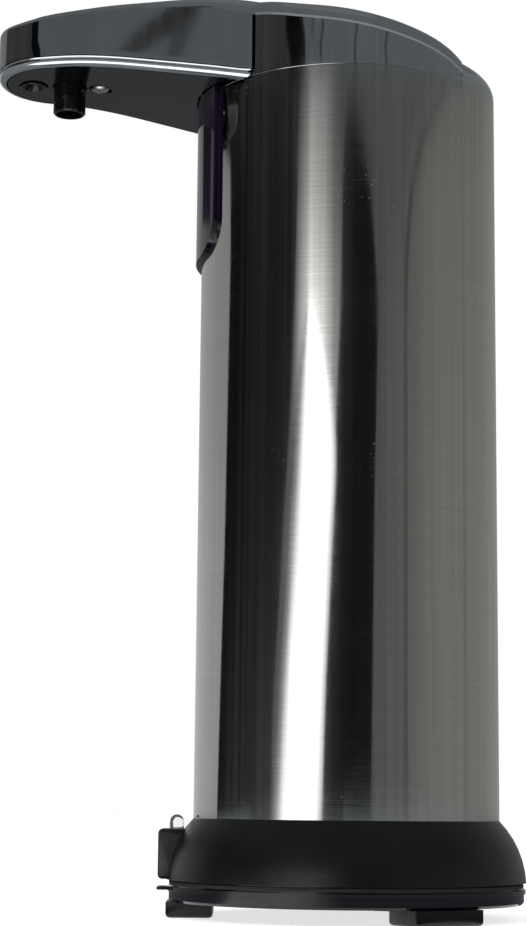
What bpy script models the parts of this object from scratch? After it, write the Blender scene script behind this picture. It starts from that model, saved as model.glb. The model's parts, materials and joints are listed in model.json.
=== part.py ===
"""Automatic soap dispenser: a steel tube on a domed base ring, with a chromed head and spout.

Metres, +Z up. Every piece is modelled about the tube's axis, with the spout towards -X and the feet at zero,
and the whole is carried by one empty that puts the middle of the overall length at the world's origin.
"""
import math

import bmesh
import bpy
from mathutils import Matrix, Vector

# Overall sizes
SPOUT_REACH = 0.0755
TUBE_RADIUS = 0.0312
RING_FLARE = 0.0053
SEAT_GAP = 0.0003
FINE_GAP = 0.0001
RUNNING_GAP = 0.00008
OVERRUN = 0.001
SMALL_BEVEL = 0.0003

# Base: feet, cover, ring and latch
FOOT_HEIGHT = 0.0030
FOOT_SETBACK = 0.0001
FOOT_DEPTH = 0.0095
FOOT_WIDTH = 0.0160
FOOT_BEVEL = 0.0005
COVER_THICKNESS = 0.0030
COVER_SETBACK = 0.0005
COVER_FLANGE_SETBACK = 0.0002
COVER_FLANGE_THICKNESS = 0.00085
COVER_RIM_WALL = 0.0012
COVER_RIM_HEIGHT = 0.0022
COVER_GROOVE = 0.0013
LIP_OVERHANG = 0.0019
LIP_WIDTH = 0.0090
RING_HEIGHT = 0.0122
RING_ARC_RADIUS = 0.0185
RING_WALL = 0.0018
DECK_THICKNESS = 0.0024
SPIGOT_HEIGHT = 0.0064
SPIGOT_WALL = 0.0014
SEAL_WIDTH = 0.0010
BLOCK_OVERHANG = 0.0017
BLOCK_DEPTH = 0.0072
BLOCK_WIDTH = 0.0100
BLOCK_TOP_BELOW_DECK = 0.0021
BLOCK_BEVEL = 0.0008
PIN_SETBACK = 0.00365
PIN_HEAD_RADIUS = 0.00145
PIN_HEAD_LENGTH = 0.00535
PIN_PROUD = 0.00285
PIN_STEM_RADIUS = 0.00080
PIN_TRAVEL = 0.0015
PIN_SPRING_LENGTH = 0.0042
PIN_SPRING_WIRE = 0.00036
PIN_SPRING_TURNS = 5
PIN_SPRING_CLEARANCE = 0.00012

# Tube, window and sensor
TUBE_WALL = 0.0006
TUBE_LENGTH = 0.1498
WINDOW_HALF_WIDTH = 0.0149
WINDOW_HEIGHT = 0.0350
WINDOW_CORNER = 0.0070
WINDOW_PROUD = 0.0012
WINDOW_ABOVE_TUBE = 0.0010
WINDOW_LAP = 0.0015
WINDOW_PEG_RADIUS = 0.0010
SENSOR_BOARD_THICKNESS = 0.0010
SENSOR_BOARD_SETBACK = 0.0042
SENSOR_BOARD_WIDTH = 0.0220
SENSOR_BOARD_HEIGHT = 0.0220
SENSOR_LED_RADIUS = 0.0014
SENSOR_LED_LENGTH = 0.0018
SENSOR_LED_SPACING = 0.0120

# Batteries and their tray
CELL_RADIUS = 0.00525
CELL_LENGTH = 0.0445
CELL_NUB_RADIUS = 0.0019
CELL_NUB_LENGTH = 0.0008
CONTACT_SPACE = 0.0025
CONTACT_THICKNESS = 0.0004
CONTACT_HEIGHT = 0.0050
CONTACT_WIDTH = 0.0074
CONTACT_SPRING_RADIUS = 0.0021
CONTACT_SPRING_WIRE = 0.0005
CONTACT_SPRING_TURNS = 2
CONTACT_TAIL = 0.0024
TRAY_WALL = 0.0018
TRAY_HEIGHT = 0.0070
TRAY_RIB_WIDTH = 0.0040
TRAY_RIB_HEIGHT = 0.0024
LEAD_RADIUS = 0.00065
LEAD_SPACING = 0.0024
LEAD_HOLE_RADIUS = 0.0009
LEAD_NOTCH_WIDTH = 0.0060

# Tank and its top
TANK_SPACE = 0.0022
TANK_WALL = 0.0013
TANK_HEADROOM = 0.0425
TANK_FLANGE_WIDTH = 0.0018
TANK_FLANGE_THICKNESS = 0.0012
TANK_SEAL_THICKNESS = 0.0008
TANK_TOP_THICKNESS = 0.0025
NECK_OFFSET = 0.0040
NECK_RADIUS = 0.0130
NECK_WALL = 0.0016
SUCTION_RADIUS = 0.0025
SUCTION_BORE = 0.0017
SUCTION_CLEAR = 0.0060
SUCTION_OFFSET = 0.0215

# Gear pump and motor
PUMP_OFFSET = 0.0180
GEAR_TEETH = 12
GEAR_MODULE = 0.00075
GEAR_HEIGHT = 0.0060
GEAR_TIP_CLEARANCE = 0.00025
GEAR_BACKLASH = 0.00030
GEAR_END_GAP = 0.0003
GEAR_SHAFT_RADIUS = 0.0010
GEAR_SHAFT_LENGTH = 0.0016
PUMP_FLOOR = 0.0050
PUMP_SIDE_WALL = 0.0012
PUMP_END_WALL = 0.0012
PUMP_COVER_THICKNESS = 0.0020
PUMP_PORT_HALF_WIDTH = 0.0018
PUMP_PORT_REACH = 0.0052
PUMP_OUTLET_OFFSET = 0.0035
PUMP_OUTLET_BORE = 0.0012
PUMP_STUB_RADIUS = 0.0019
PUMP_STUB_LENGTH = 0.0040
MOTOR_RADIUS = 0.0060
MOTOR_LENGTH = 0.0180
MOTOR_SHAFT_DEPTH = 0.0040
MOTOR_CAP_RADIUS = 0.0042
MOTOR_CAP_HEIGHT = 0.0012
DELIVERY_RADIUS = 0.0016

# Head
HEAD_HEIGHT = 0.0200
HEAD_WALL = 0.0015
HEAD_CROWN = 0.0012
TIP_SHARE = 0.42308
FLANK_SHARE = 0.8908
HOOD_LIP = 0.0003
FILLET_INSET = 0.0030
FILLET_HEIGHT = 0.0038
FILLET_START = math.radians(20.0)
HOOD_REAR_SHARE = 0.718
UNDERSIDE_RISE = 0.0052
COLLAR_WALL = 0.0022
COLLAR_REAR_HEIGHT = 0.0010
COLLAR_SPIGOT_HEIGHT = 0.0070
COLLAR_SPIGOT_WALL = 0.0013
COLLAR_PASSAGE_HALF_WIDTH = 0.0170
COLLAR_SILL = 0.0013
SHOULDER_HEIGHT = 0.0041
SHOULDER_FILLET = 0.0022
TRIM_HEIGHT = 0.0020
TRIM_DEPTH = 0.0016
TRIM_GROOVE = 0.0004
UNDERPLATE_THICKNESS = 0.0015

# Filler lid
LID_GAP = 0.0004
LID_RADIUS = 0.0152
LID_THICKNESS = 0.0016
LID_SKIRT_INSET = 0.0006
LID_SKIRT_WALL = 0.0010
LID_SKIRT_HEIGHT = 0.0014
LID_SEAL_WIDTH = 0.0022
LID_SEAL_THICKNESS = 0.0012
LID_THUMB_RADIUS = 0.0009
LID_THUMB_LENGTH = 0.0080
LID_THUMB_INSET = 0.0026
HINGE_SETBACK = 0.0016
HINGE_LIFT = 0.0003
HINGE_KNUCKLE_RADIUS = 0.0013
HINGE_PIN_RADIUS = 0.00060
HINGE_ARM_WIDTH = 0.0070
HINGE_EAR_WIDTH = 0.0027

# Buttons, board and light
BUTTON_SETBACK = 0.0405
BUTTON_SPACING = 0.0120
BUTTON_RADIUS = 0.0040
BUTTON_PROUD = 0.0003
BUTTON_FLANGE_WIDTH = 0.0010
BUTTON_FLANGE_THICKNESS = 0.0007
BUTTON_DISH_DEPTH = 0.0002
BUTTON_TRAVEL = 0.0006
SWITCH_SIZE = 0.0060
SWITCH_HEIGHT = 0.0024
PLUNGER_RADIUS = 0.0010
PLUNGER_DEPTH = 0.0006
LIGHT_SETBACK = 0.0315
LIGHT_RADIUS = 0.0012
LIGHT_FLANGE_WIDTH = 0.0008
LIGHT_FLANGE_THICKNESS = 0.0007
BOARD_THICKNESS = 0.0012
BOARD_LENGTH = 0.0260
BOARD_WIDTH = 0.0180
BOARD_BOSS_RADIUS = 0.0015

# Nozzle, lens and screw under the spout
NOZZLE_SETBACK = 0.0153
NOZZLE_RADIUS = 0.00345
NOZZLE_LENGTH = 0.0136
NOZZLE_BELOW_SPOUT = 0.0063
NOZZLE_BORE = 0.0028
NOZZLE_FLANGE_WIDTH = 0.0007
NOZZLE_FLANGE_THICKNESS = 0.0008
NOZZLE_ROOF = 0.0012
VALVE_LENGTH = 0.0030
VALVE_WALL = 0.0006
LENS_SETBACK = 0.0075
LENS_RADIUS = 0.00285
LENS_PROUD = 0.0004
LENS_FLANGE_WIDTH = 0.0005
LENS_FLANGE_THICKNESS = 0.0008
SCREW_SETBACK = 0.0219
SCREW_HEAD_RADIUS = 0.0019
SCREW_HEAD_THICKNESS = 0.0009
SCREW_SHANK_RADIUS = 0.0010
SCREW_BOSS_RADIUS = 0.0020

# Shape tables of the head, as shares of the length and height that they follow
EDGE_X_SHARES = (0.0, 0.09, 0.20, 0.29, 0.40, 0.51, 0.605, 0.70, 0.79, 0.86, 0.895, 0.92, 1.0)
EDGE_Z_SHARES = (0.965, 0.985, 0.996, 1.0, 0.978, 0.895, 0.757, 0.66, 0.55, 0.442, 0.36, 0.275, 0.10)
UNDER_X_SHARES = (0.0, 0.126, 0.232, 0.338, 0.47, 0.603, 0.735, 1.0)
UNDER_Z_SHARES = (0.98, 1.0, 0.97, 0.81, 0.5, 0.17, -0.15, -0.2)

# Shares of small shapes, and of the ways of the leads and of the soap's tube
TRIM_GROOVE_SHARES = (0.58, 0.64, 0.76, 0.82)
SLOT_SHARE = 0.6
DISH_SHARE = 0.7
COIL_TIP_SHARE = 0.6
LEAD_ROW_SHARES = (0.6, 0.2)
LEAD_BOARD_SHARES = (0.55, 0.35, 0.3)
SOAP_WAY_LOW_SHARES = ((0.25, 1.6, 1.3), (1, 1.6, 4))
SOAP_WAY_TURN_SHARE = 0.94
SOAP_WAY_HEAD_SHARES = ((3.8, 0.72, -2), (4.3, 0.68, 0.5), (5.6, 0.63, 2.4), (7.6, 0.56, 3.6))
SOAP_WAY_SPOUT_SHARES = ((10, 0.5, -0.35), (14, 0.42, -0.05), (17.5, 0.46, 0))
SOAP_WAY_END_SHARE = 2.3

# Counts
ROUND_SEGMENTS = 48
SMALL_SEGMENTS = 20
INNER_SEGMENTS = 32
PIN_SEGMENTS = 12
TIP_STEPS = 6
FLANK_STEPS = 5
DRUM_STEPS = 12
FILLET_STEPS = 3
TOP_STRIPS = 4

# Levels, from the feet upwards
COVER_BOTTOM = FOOT_HEIGHT + FINE_GAP
COVER_TOP = COVER_BOTTOM + COVER_THICKNESS
RING_BOTTOM = COVER_TOP + COVER_GROOVE
RING_TOP = RING_BOTTOM + RING_HEIGHT
DECK_BOTTOM = RING_TOP - DECK_THICKNESS
TUBE_BOTTOM = RING_TOP + SEAT_GAP
TUBE_TOP = TUBE_BOTTOM + TUBE_LENGTH
HEAD_BOTTOM = TUBE_TOP + SEAT_GAP
TANK_BOTTOM = RING_TOP + SEAT_GAP
TANK_RIM = TANK_BOTTOM + TUBE_LENGTH - TANK_HEADROOM
TANK_TOP_BOTTOM = TANK_RIM + TANK_SEAL_THICKNESS + 2 * SEAT_GAP
TANK_TOP_LEVEL = TANK_TOP_BOTTOM + TANK_TOP_THICKNESS
PUMP_BOTTOM = TANK_TOP_LEVEL + SEAT_GAP

# Radii and reaches that follow from the tube
BASE_RADIUS = TUBE_RADIUS + RING_FLARE
FOOT_REACH = BASE_RADIUS - FOOT_SETBACK
LIP_REACH = BASE_RADIUS + LIP_OVERHANG
BLOCK_REACH = BASE_RADIUS + BLOCK_OVERHANG
TUBE_INNER = TUBE_RADIUS - TUBE_WALL
SPIGOT_OUTER = TUBE_INNER - SEAT_GAP
SPIGOT_INNER = SPIGOT_OUTER - SPIGOT_WALL
TANK_RADIUS = TUBE_INNER - TANK_SPACE
DRUM_RADIUS = TUBE_RADIUS + HOOD_LIP
LEAD_CIRCLE = TANK_RADIUS + (TUBE_INNER - TANK_RADIUS) / 2
AXIS_SHIFT = (SPOUT_REACH - BASE_RADIUS) / 2
EDGE_LENGTH = SPOUT_REACH + DRUM_RADIUS
EDGE_HEIGHT = HEAD_HEIGHT - HEAD_CROWN
PIN_X = -(BLOCK_REACH - PIN_SETBACK)
BLOCK_TOP = RING_TOP - BLOCK_TOP_BELOW_DECK

# The hood's rear end, the spout's taper, and the places along the spout, set out from its tip
HOOD_REAR = HOOD_REAR_SHARE * TUBE_RADIUS
TIP_RADIUS = TIP_SHARE * TUBE_RADIUS
FLANK_ANGLE = math.asin((FLANK_SHARE * DRUM_RADIUS - TIP_RADIUS) / (SPOUT_REACH - TIP_RADIUS))
BUTTON_OFFSET = SPOUT_REACH - BUTTON_SETBACK
LIGHT_OFFSET = SPOUT_REACH - LIGHT_SETBACK
NOZZLE_OFFSET = SPOUT_REACH - NOZZLE_SETBACK
LENS_OFFSET = SPOUT_REACH - LENS_SETBACK
SCREW_OFFSET = SPOUT_REACH - SCREW_SETBACK


# Colours, roughness and metallic values of the materials
FINISHES = {
    "steel": ((0.42, 0.43, 0.44), 0.16, 1.0),
    "chrome": ((0.60, 0.62, 0.64), 0.06, 1.0),
    "gloss_black": ((0.012, 0.012, 0.014), 0.12, 0.0),
    "satin_black": ((0.020, 0.020, 0.022), 0.45, 0.0),
    "black_rubber": ((0.018, 0.018, 0.018), 0.75, 0.0),
    "violet_window": ((0.030, 0.012, 0.045), 0.08, 0.0),
    "clear_plastic": ((0.70, 0.74, 0.76), 0.12, 0.0),
    "frosted_plastic": ((0.62, 0.66, 0.68), 0.35, 0.0),
    "grey_plastic": ((0.22, 0.22, 0.23), 0.50, 0.0),
    "white_plastic": ((0.80, 0.80, 0.78), 0.40, 0.0),
    "cell_wrap": ((0.05, 0.08, 0.14), 0.30, 0.2),
    "spring_steel": ((0.62, 0.62, 0.60), 0.30, 1.0),
    "brass": ((0.70, 0.52, 0.25), 0.30, 1.0),
    "green_board": ((0.02, 0.16, 0.07), 0.40, 0.0),
    "red_wire": ((0.45, 0.02, 0.02), 0.45, 0.0),
    "black_wire": ((0.02, 0.02, 0.02), 0.45, 0.0),
    "soft_silicone": ((0.75, 0.75, 0.72), 0.55, 0.0),
}


def remove_everything():
    for obj in list(bpy.data.objects):
        bpy.data.objects.remove(obj, do_unlink=True)


def new_collection(name):
    group = bpy.data.collections.new(name)
    bpy.context.scene.collection.children.link(group)
    return group


remove_everything()
PARTS = new_collection("soap_dispenser")
CUTTERS = new_collection("cutters")


def new_empty(name, location, parent=None):
    empty = bpy.data.objects.new(name, None)
    empty.location = location
    empty.parent = parent
    PARTS.objects.link(empty)
    return empty


AXIS = new_empty("tube_axis", (AXIS_SHIFT, 0, 0))


def material(finish):
    """One Principled material for each finish."""
    if finish in bpy.data.materials:
        return bpy.data.materials[finish]
    colour, roughness, metallic = FINISHES[finish]
    made = bpy.data.materials.new(finish)
    made.use_nodes = True
    shader = made.node_tree.nodes["Principled BSDF"]
    shader.inputs["Base Color"].default_value = (*colour, 1)
    shader.inputs["Roughness"].default_value = roughness
    shader.inputs["Metallic"].default_value = metallic
    return made


def add_object(name, mesh, finish=None, location=(0, 0, 0), rotation=(0, 0, 0)):
    """A piece when it has a finish, and otherwise a cutter."""
    obj = bpy.data.objects.new(name, mesh)
    obj.parent = AXIS
    obj.location = location
    obj.rotation_euler = rotation
    if finish:
        PARTS.objects.link(obj)
        mesh.materials.append(material(finish))
    else:
        CUTTERS.objects.link(obj)
        obj.hide_render = True
        obj.display_type = "WIRE"
    return obj


def hang_on(obj, joint):
    """Parent a piece to the empty on its joint's axis, without moving it."""
    obj.location = Vector(obj.location) - joint.location
    obj.parent = joint


def smooth(obj, angle=math.radians(35)):
    obj.data.shade_smooth()
    obj.data.set_sharp_from_angle(angle=angle)
    return obj


def mesh_from(points, faces, name):
    mesh = bpy.data.meshes.new(name)
    mesh.from_pydata(points, [], faces)
    shape = bmesh.new()
    shape.from_mesh(mesh)
    bmesh.ops.recalc_face_normals(shape, faces=shape.faces)
    shape.to_mesh(mesh)
    shape.free()
    return mesh


def boolean(obj, other, operation):
    step = obj.modifiers.new(other.name, "BOOLEAN")
    step.operation = operation
    step.solver = "EXACT"
    step.object = other
    return obj


def cut(obj, *cutters):
    for cutter in cutters:
        boolean(obj, cutter, "DIFFERENCE")
    return obj


def join(obj, *others):
    for other in others:
        boolean(obj, other, "UNION")
    return obj


def keep(obj, envelope):
    return boolean(obj, envelope, "INTERSECT")


def box(name, low, high, finish=None, bevel=0):
    """A box between two corners."""
    size = [b - a for a, b in zip(low, high)]
    middle = [(a + b) / 2 for a, b in zip(low, high)]
    shape = bmesh.new()
    bmesh.ops.create_cube(shape, size=1)
    bmesh.ops.scale(shape, vec=size, verts=shape.verts)
    mesh = bpy.data.meshes.new(name)
    shape.to_mesh(mesh)
    shape.free()
    obj = add_object(name, mesh, finish, middle)
    if bevel:
        round_edges(obj, bevel)
    return obj


def round_edges(obj, width, segments=2):
    step = obj.modifiers.new("rounded edges", "BEVEL")
    step.width = width
    step.segments = segments
    step.limit_method = "ANGLE"
    return obj


def rod(name, radius, low, high, place=(0, 0), finish=None, segments=SMALL_SEGMENTS, top_radius=None):
    """An upright cylinder or cone between two levels."""
    shape = bmesh.new()
    upper = radius if top_radius is None else top_radius
    bmesh.ops.create_cone(
        shape, cap_ends=True, segments=segments, radius1=radius, radius2=upper, depth=high - low)
    mesh = bpy.data.meshes.new(name)
    shape.to_mesh(mesh)
    shape.free()
    return smooth(add_object(name, mesh, finish, (*place, (low + high) / 2)))


def lying_rod(name, radius, start, end, finish=None, segments=SMALL_SEGMENTS):
    """A cylinder between two points."""
    way = Vector(end) - Vector(start)
    shape = bmesh.new()
    bmesh.ops.create_cone(
        shape, cap_ends=True, segments=segments, radius1=radius, radius2=radius, depth=way.length)
    mesh = bpy.data.meshes.new(name)
    shape.to_mesh(mesh)
    shape.free()
    middle = (Vector(start) + Vector(end)) / 2
    turn = way.to_track_quat("Z", "Y").to_euler()
    return smooth(add_object(name, mesh, finish, middle, turn))


def turned(name, profile, finish=None, location=(0, 0, 0), rotation=(0, 0, 0), segments=ROUND_SEGMENTS):
    """A profile of (radius, level) points, down the outer side, spun about the vertical."""
    closed = profile[0][0] > 0 or profile[-1][0] > 0
    points = [(r, 0, z) for r, z in profile]
    edges = [(i, i + 1) for i in range(len(points) - 1)]
    if closed:
        edges.append((len(points) - 1, 0))
    mesh = bpy.data.meshes.new(name)
    mesh.from_pydata(points, edges, [])
    obj = add_object(name, mesh, finish, location, rotation)
    spin = obj.modifiers.new("spin", "SCREW")
    spin.axis = "Z"
    spin.steps = segments
    spin.render_steps = segments
    spin.use_merge_vertices = True
    spin.merge_threshold = FINE_GAP / 10
    spin.use_smooth_shade = False
    return obj


def ring(name, outer, inner, low, high, place=(0, 0), finish=None, segments=ROUND_SEGMENTS):
    profile = [(outer, high), (outer, low), (inner, low), (inner, high)]
    return turned(name, profile, finish, (*place, 0), segments=segments)


def arc(centre, radius, start, end, steps):
    """Points of an arc between two angles."""
    angles = [start + (end - start) * i / steps for i in range(steps + 1)]
    return [(centre[0] + radius * math.cos(a), centre[1] + radius * math.sin(a)) for a in angles]


def curve_mesh(curve_object):
    """Turn a curve into a closed mesh object in its place."""
    bpy.context.view_layer.update()
    graph = bpy.context.evaluated_depsgraph_get()
    mesh = bpy.data.meshes.new_from_object(curve_object.evaluated_get(graph))
    shape = bmesh.new()
    shape.from_mesh(mesh)
    bmesh.ops.remove_doubles(shape, verts=shape.verts, dist=FINE_GAP / 100)
    bmesh.ops.recalc_face_normals(shape, faces=shape.faces)
    shape.to_mesh(mesh)
    shape.free()
    name = curve_object.name
    world = curve_object.matrix_world.copy()
    group = curve_object.users_collection[0]
    bpy.data.objects.remove(curve_object, do_unlink=True)
    obj = bpy.data.objects.new(name, mesh)
    group.objects.link(obj)
    obj.matrix_world = world
    bpy.context.view_layer.update()
    obj.parent = AXIS
    obj.matrix_parent_inverse = AXIS.matrix_world.inverted()
    if group is CUTTERS:
        obj.hide_render = True
        obj.display_type = "WIRE"
    return obj


def tube_along(name, points, radius, finish=None, resolution=2):
    """A round tube with closed ends along a list of points."""
    curve = bpy.data.curves.new(name, "CURVE")
    curve.dimensions = "3D"
    curve.bevel_depth = radius
    curve.bevel_resolution = resolution
    curve.use_fill_caps = True
    spline = curve.splines.new("POLY")
    spline.points.add(len(points) - 1)
    for target, point in zip(spline.points, points):
        target.co = (*point, 1)
    obj = add_object(name, curve, finish)
    return smooth(curve_mesh(obj))


def flat_outline(name, outline, low, high, finish=None, place=(0, 0), turn=0):
    """A closed outline in plan, extruded between two levels."""
    curve = bpy.data.curves.new(name, "CURVE")
    curve.dimensions = "2D"
    curve.fill_mode = "BOTH"
    curve.extrude = (high - low) / 2
    spline = curve.splines.new("POLY")
    spline.points.add(len(outline) - 1)
    spline.use_cyclic_u = True
    for target, point in zip(spline.points, outline):
        target.co = (point[0], point[1], 0, 1)
    obj = add_object(name, curve, finish, (*place, (low + high) / 2), (0, 0, turn))
    return curve_mesh(obj)


def smooth_path(points, steps):
    """A Catmull-Rom curve through the points."""
    ends = [2 * Vector(points[0]) - Vector(points[1]), 2 * Vector(points[-1]) - Vector(points[-2])]
    knots = [ends[0]] + [Vector(p) for p in points] + [ends[1]]
    path = []
    for i in range(1, len(knots) - 2):
        for k in range(steps):
            path.append(spline_point(knots[i - 1:i + 3], k / steps))
    path.append(knots[-2])
    return path


def spline_point(four, t):
    """A point of a Catmull-Rom stretch between the second and third of four knots."""
    before, start, end, after = four
    slope = (end - before) / 2
    next_slope = (after - start) / 2
    return (start * (2 * t**3 - 3 * t**2 + 1) + slope * (t**3 - 2 * t**2 + t)
            + end * (3 * t**2 - 2 * t**3) + next_slope * (t**3 - t**2))


def coil_path(centre, radius, low, high, turns, points_per_turn, top_radius=None):
    """Points of an upright coil, whose radius may change with height."""
    count = int(turns * points_per_turn)
    upper = radius if top_radius is None else top_radius
    path = []
    for i in range(count + 1):
        share = i / count
        angle = 2 * math.pi * turns * share
        reach = radius + (upper - radius) * share
        path.append((centre[0] + reach * math.cos(angle), centre[1] + reach * math.sin(angle),
                     low + (high - low) * share))
    return path


def smooth_table(x, xs, ys):
    """Monotone-looking cubic interpolation of a short table."""
    if x <= xs[0]:
        return ys[0]
    if x >= xs[-1]:
        return ys[-1]
    slopes = []
    for i in range(len(xs)):
        a = max(i - 1, 0)
        b = min(i + 1, len(xs) - 1)
        slopes.append((ys[b] - ys[a]) / (xs[b] - xs[a]))
    i = max(k for k in range(len(xs) - 1) if xs[k] <= x)
    step = xs[i + 1] - xs[i]
    t = (x - xs[i]) / step
    return (ys[i] * (2 * t**3 - 3 * t**2 + 1) + slopes[i] * step * (t**3 - 2 * t**2 + t)
            + ys[i + 1] * (3 * t**2 - 2 * t**3) + slopes[i + 1] * step * (t**3 - t**2))


# Surfaces of the head

def edge_level(x):
    """Height of the head's upper edge at a distance along the spout."""
    share = (x + SPOUT_REACH) / EDGE_LENGTH
    return HEAD_BOTTOM + EDGE_HEIGHT * smooth_table(share, EDGE_X_SHARES, EDGE_Z_SHARES)


def crease_level(x):
    return edge_level(x) - FILLET_HEIGHT


def under_level(x):
    """Height of the spout's lower edge."""
    share = (x + SPOUT_REACH) / SPOUT_REACH
    return HEAD_BOTTOM + UNDERSIDE_RISE * smooth_table(share, UNDER_X_SHARES, UNDER_Z_SHARES)


def half_width(x, inset=0):
    """Half the width of the head in plan at a distance along the spout."""
    tip = TIP_RADIUS - inset
    drum = DRUM_RADIUS - inset
    centre = TIP_RADIUS - SPOUT_REACH
    reach = max(drum**2 - x**2, 0) ** 0.5 if abs(x) < drum else 0
    tip_end = centre - tip * math.sin(FLANK_ANGLE)
    flank = (tip - (x - centre) * -math.sin(FLANK_ANGLE)) / math.cos(FLANK_ANGLE)
    if x < tip_end:
        return max(tip**2 - (x - centre)**2, 0) ** 0.5
    return flank if x < corner_x(inset) else reach


def corner_x(inset):
    """Where the flank of the spout meets the drum."""
    distance = TIP_RADIUS - inset - (TIP_RADIUS - SPOUT_REACH) * math.sin(FLANK_ANGLE)
    drum = DRUM_RADIUS - inset
    return drum * math.cos(math.pi / 2 + FLANK_ANGLE + math.acos(distance / drum))


def head_plan(inset):
    """Points (x, half width) of the head's outline, from the tip to the rear."""
    tip = TIP_RADIUS - inset
    drum = DRUM_RADIUS - inset
    centre = (TIP_RADIUS - SPOUT_REACH, 0)
    points = arc(centre, tip, math.pi, math.pi / 2 + FLANK_ANGLE, TIP_STEPS)
    corner = corner_x(inset)
    corner_width = (drum**2 - corner**2) ** 0.5
    start = points[-1]
    for i in range(1, FLANK_STEPS + 1):
        share = i / FLANK_STEPS
        points.append((start[0] + (corner - start[0]) * share, start[1] + (corner_width - start[1]) * share))
    turn = math.atan2(corner_width, corner)
    points += arc((0, 0), drum, turn, 0, DRUM_STEPS)[1:]
    points[0] = (points[0][0], 0)
    points[-1] = (points[-1][0], 0)
    return points


def circle_plan(radius, place_x=0, steps=12):
    """Points (x, half width) of a circle, from front to rear."""
    points = arc((place_x, 0), radius, math.pi, 0, steps)
    points[0] = (points[0][0], 0)
    points[-1] = (points[-1][0], 0)
    return points


def oblong_plan(front, rear, half, steps):
    """Points (x, half width) of a rectangle."""
    return [(front + (rear - front) * i / steps, half) for i in range(steps + 1)]


def crown_fade(x):
    """One over the spout, falling to zero at the hood's rear."""
    share = min(max(x / HOOD_REAR, 0), 1)
    return 1 - share * share * (3 - 2 * share)


def top_level(x, y):
    """Height of the head's top surface."""
    width = half_width(x, FILLET_INSET)
    across = min(abs(y) / width, 1) if width > FINE_GAP else 1
    tip_fade = min(width / (TIP_RADIUS - FILLET_INSET), 1)**2
    return edge_level(x) + HEAD_CROWN * crown_fade(x) * tip_fade * (1 - across * across)


def mirrored_loop(plan):
    """The plan's points as one closed loop, as (x, y)."""
    return [(x, y) for x, y in plan] + [(x, -y) for x, y in plan[-2:0:-1]]


def surface_solid(name, plan, low, high, finish=None, strips=1):
    """A solid with a given plan between a lower and an upper surface, each a function of (x, y)."""
    points = []
    rows = []
    for x, half in plan:
        offsets = [0] if half <= FINE_GAP / 10 else [half * (2 * j / strips - 1) for j in range(strips + 1)]
        row = []
        for level in (low, high):
            row.append(range(len(points), len(points) + len(offsets)))
            points += [(x, y, level(x, y)) for y in offsets]
        rows.append(row)
    faces = []
    for here, there in zip(rows, rows[1:]):
        for a, b in ((here[0], there[0]), (here[1], there[1])):
            faces += strip_faces(a, b)
        for end in (0, -1):
            faces.append((here[0][end], there[0][end], there[1][end], here[1][end]))
    for row in (rows[0], rows[-1]):
        faces += strip_faces(row[0], row[1]) if len(row[0]) > 1 else []
    return add_object(name, mesh_from(points, faces, name), finish)


def strip_faces(a, b):
    """Faces between two rows of points, either of which may be a single point."""
    if len(a) == 1 and len(b) == 1:
        return []
    if len(a) == 1:
        return [(a[0], b[j], b[j + 1]) for j in range(len(b) - 1)]
    if len(b) == 1:
        return [(a[j], b[0], a[j + 1]) for j in range(len(a) - 1)]
    return [(a[j], b[j], b[j + 1], a[j + 1]) for j in range(len(a) - 1)]


# Joints' axes, as empties

def hinge_place():
    """The filler lid's hinge axis, just behind the lid."""
    x = NECK_OFFSET + LID_RADIUS + HINGE_SETBACK
    return (x, 0, top_level(x, 0) + HINGE_LIFT)


LID_HINGE = new_empty("lid_hinge_axis", hinge_place(), AXIS)
PLUS_PRESS = new_empty("plus_press_axis", (-BUTTON_OFFSET, -BUTTON_SPACING / 2, HEAD_BOTTOM), AXIS)
MINUS_PRESS = new_empty("minus_press_axis", (-BUTTON_OFFSET, BUTTON_SPACING / 2, HEAD_BOTTOM), AXIS)
LATCH_PRESS = new_empty("latch_press_axis", (PIN_X, 0, RING_BOTTOM), AXIS)
COVER_SLIDE = new_empty("cover_slide_axis", (0, 0, COVER_BOTTOM), AXIS)
GEAR_PITCH = GEAR_MODULE * GEAR_TEETH / 2
DRIVE_AXLE = new_empty("drive_gear_axis", (-PUMP_OFFSET, -GEAR_PITCH, PUMP_BOTTOM), AXIS)
IDLER_AXLE = new_empty("idler_gear_axis", (-PUMP_OFFSET, GEAR_PITCH, PUMP_BOTTOM), AXIS)


# Base

def ring_arc_centre():
    """Centre of the base ring's outer arc, which runs from the tube's edge down to the widest line."""
    rise = RING_HEIGHT
    run = BASE_RADIUS - TUBE_RADIUS
    chord = math.hypot(rise, run)
    depth = (RING_ARC_RADIUS**2 - chord**2 / 4) ** 0.5
    middle = (TUBE_RADIUS + run / 2, RING_BOTTOM + rise / 2)
    return (middle[0] - depth * rise / chord, middle[1] - depth * run / chord)


def ring_arc(radius, high, low, steps):
    """Points of an arc about the ring's centre between two levels."""
    centre = ring_arc_centre()
    start = math.asin((high - centre[1]) / radius)
    end = math.asin((low - centre[1]) / radius)
    return arc(centre, radius, start, end, steps)


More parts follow.
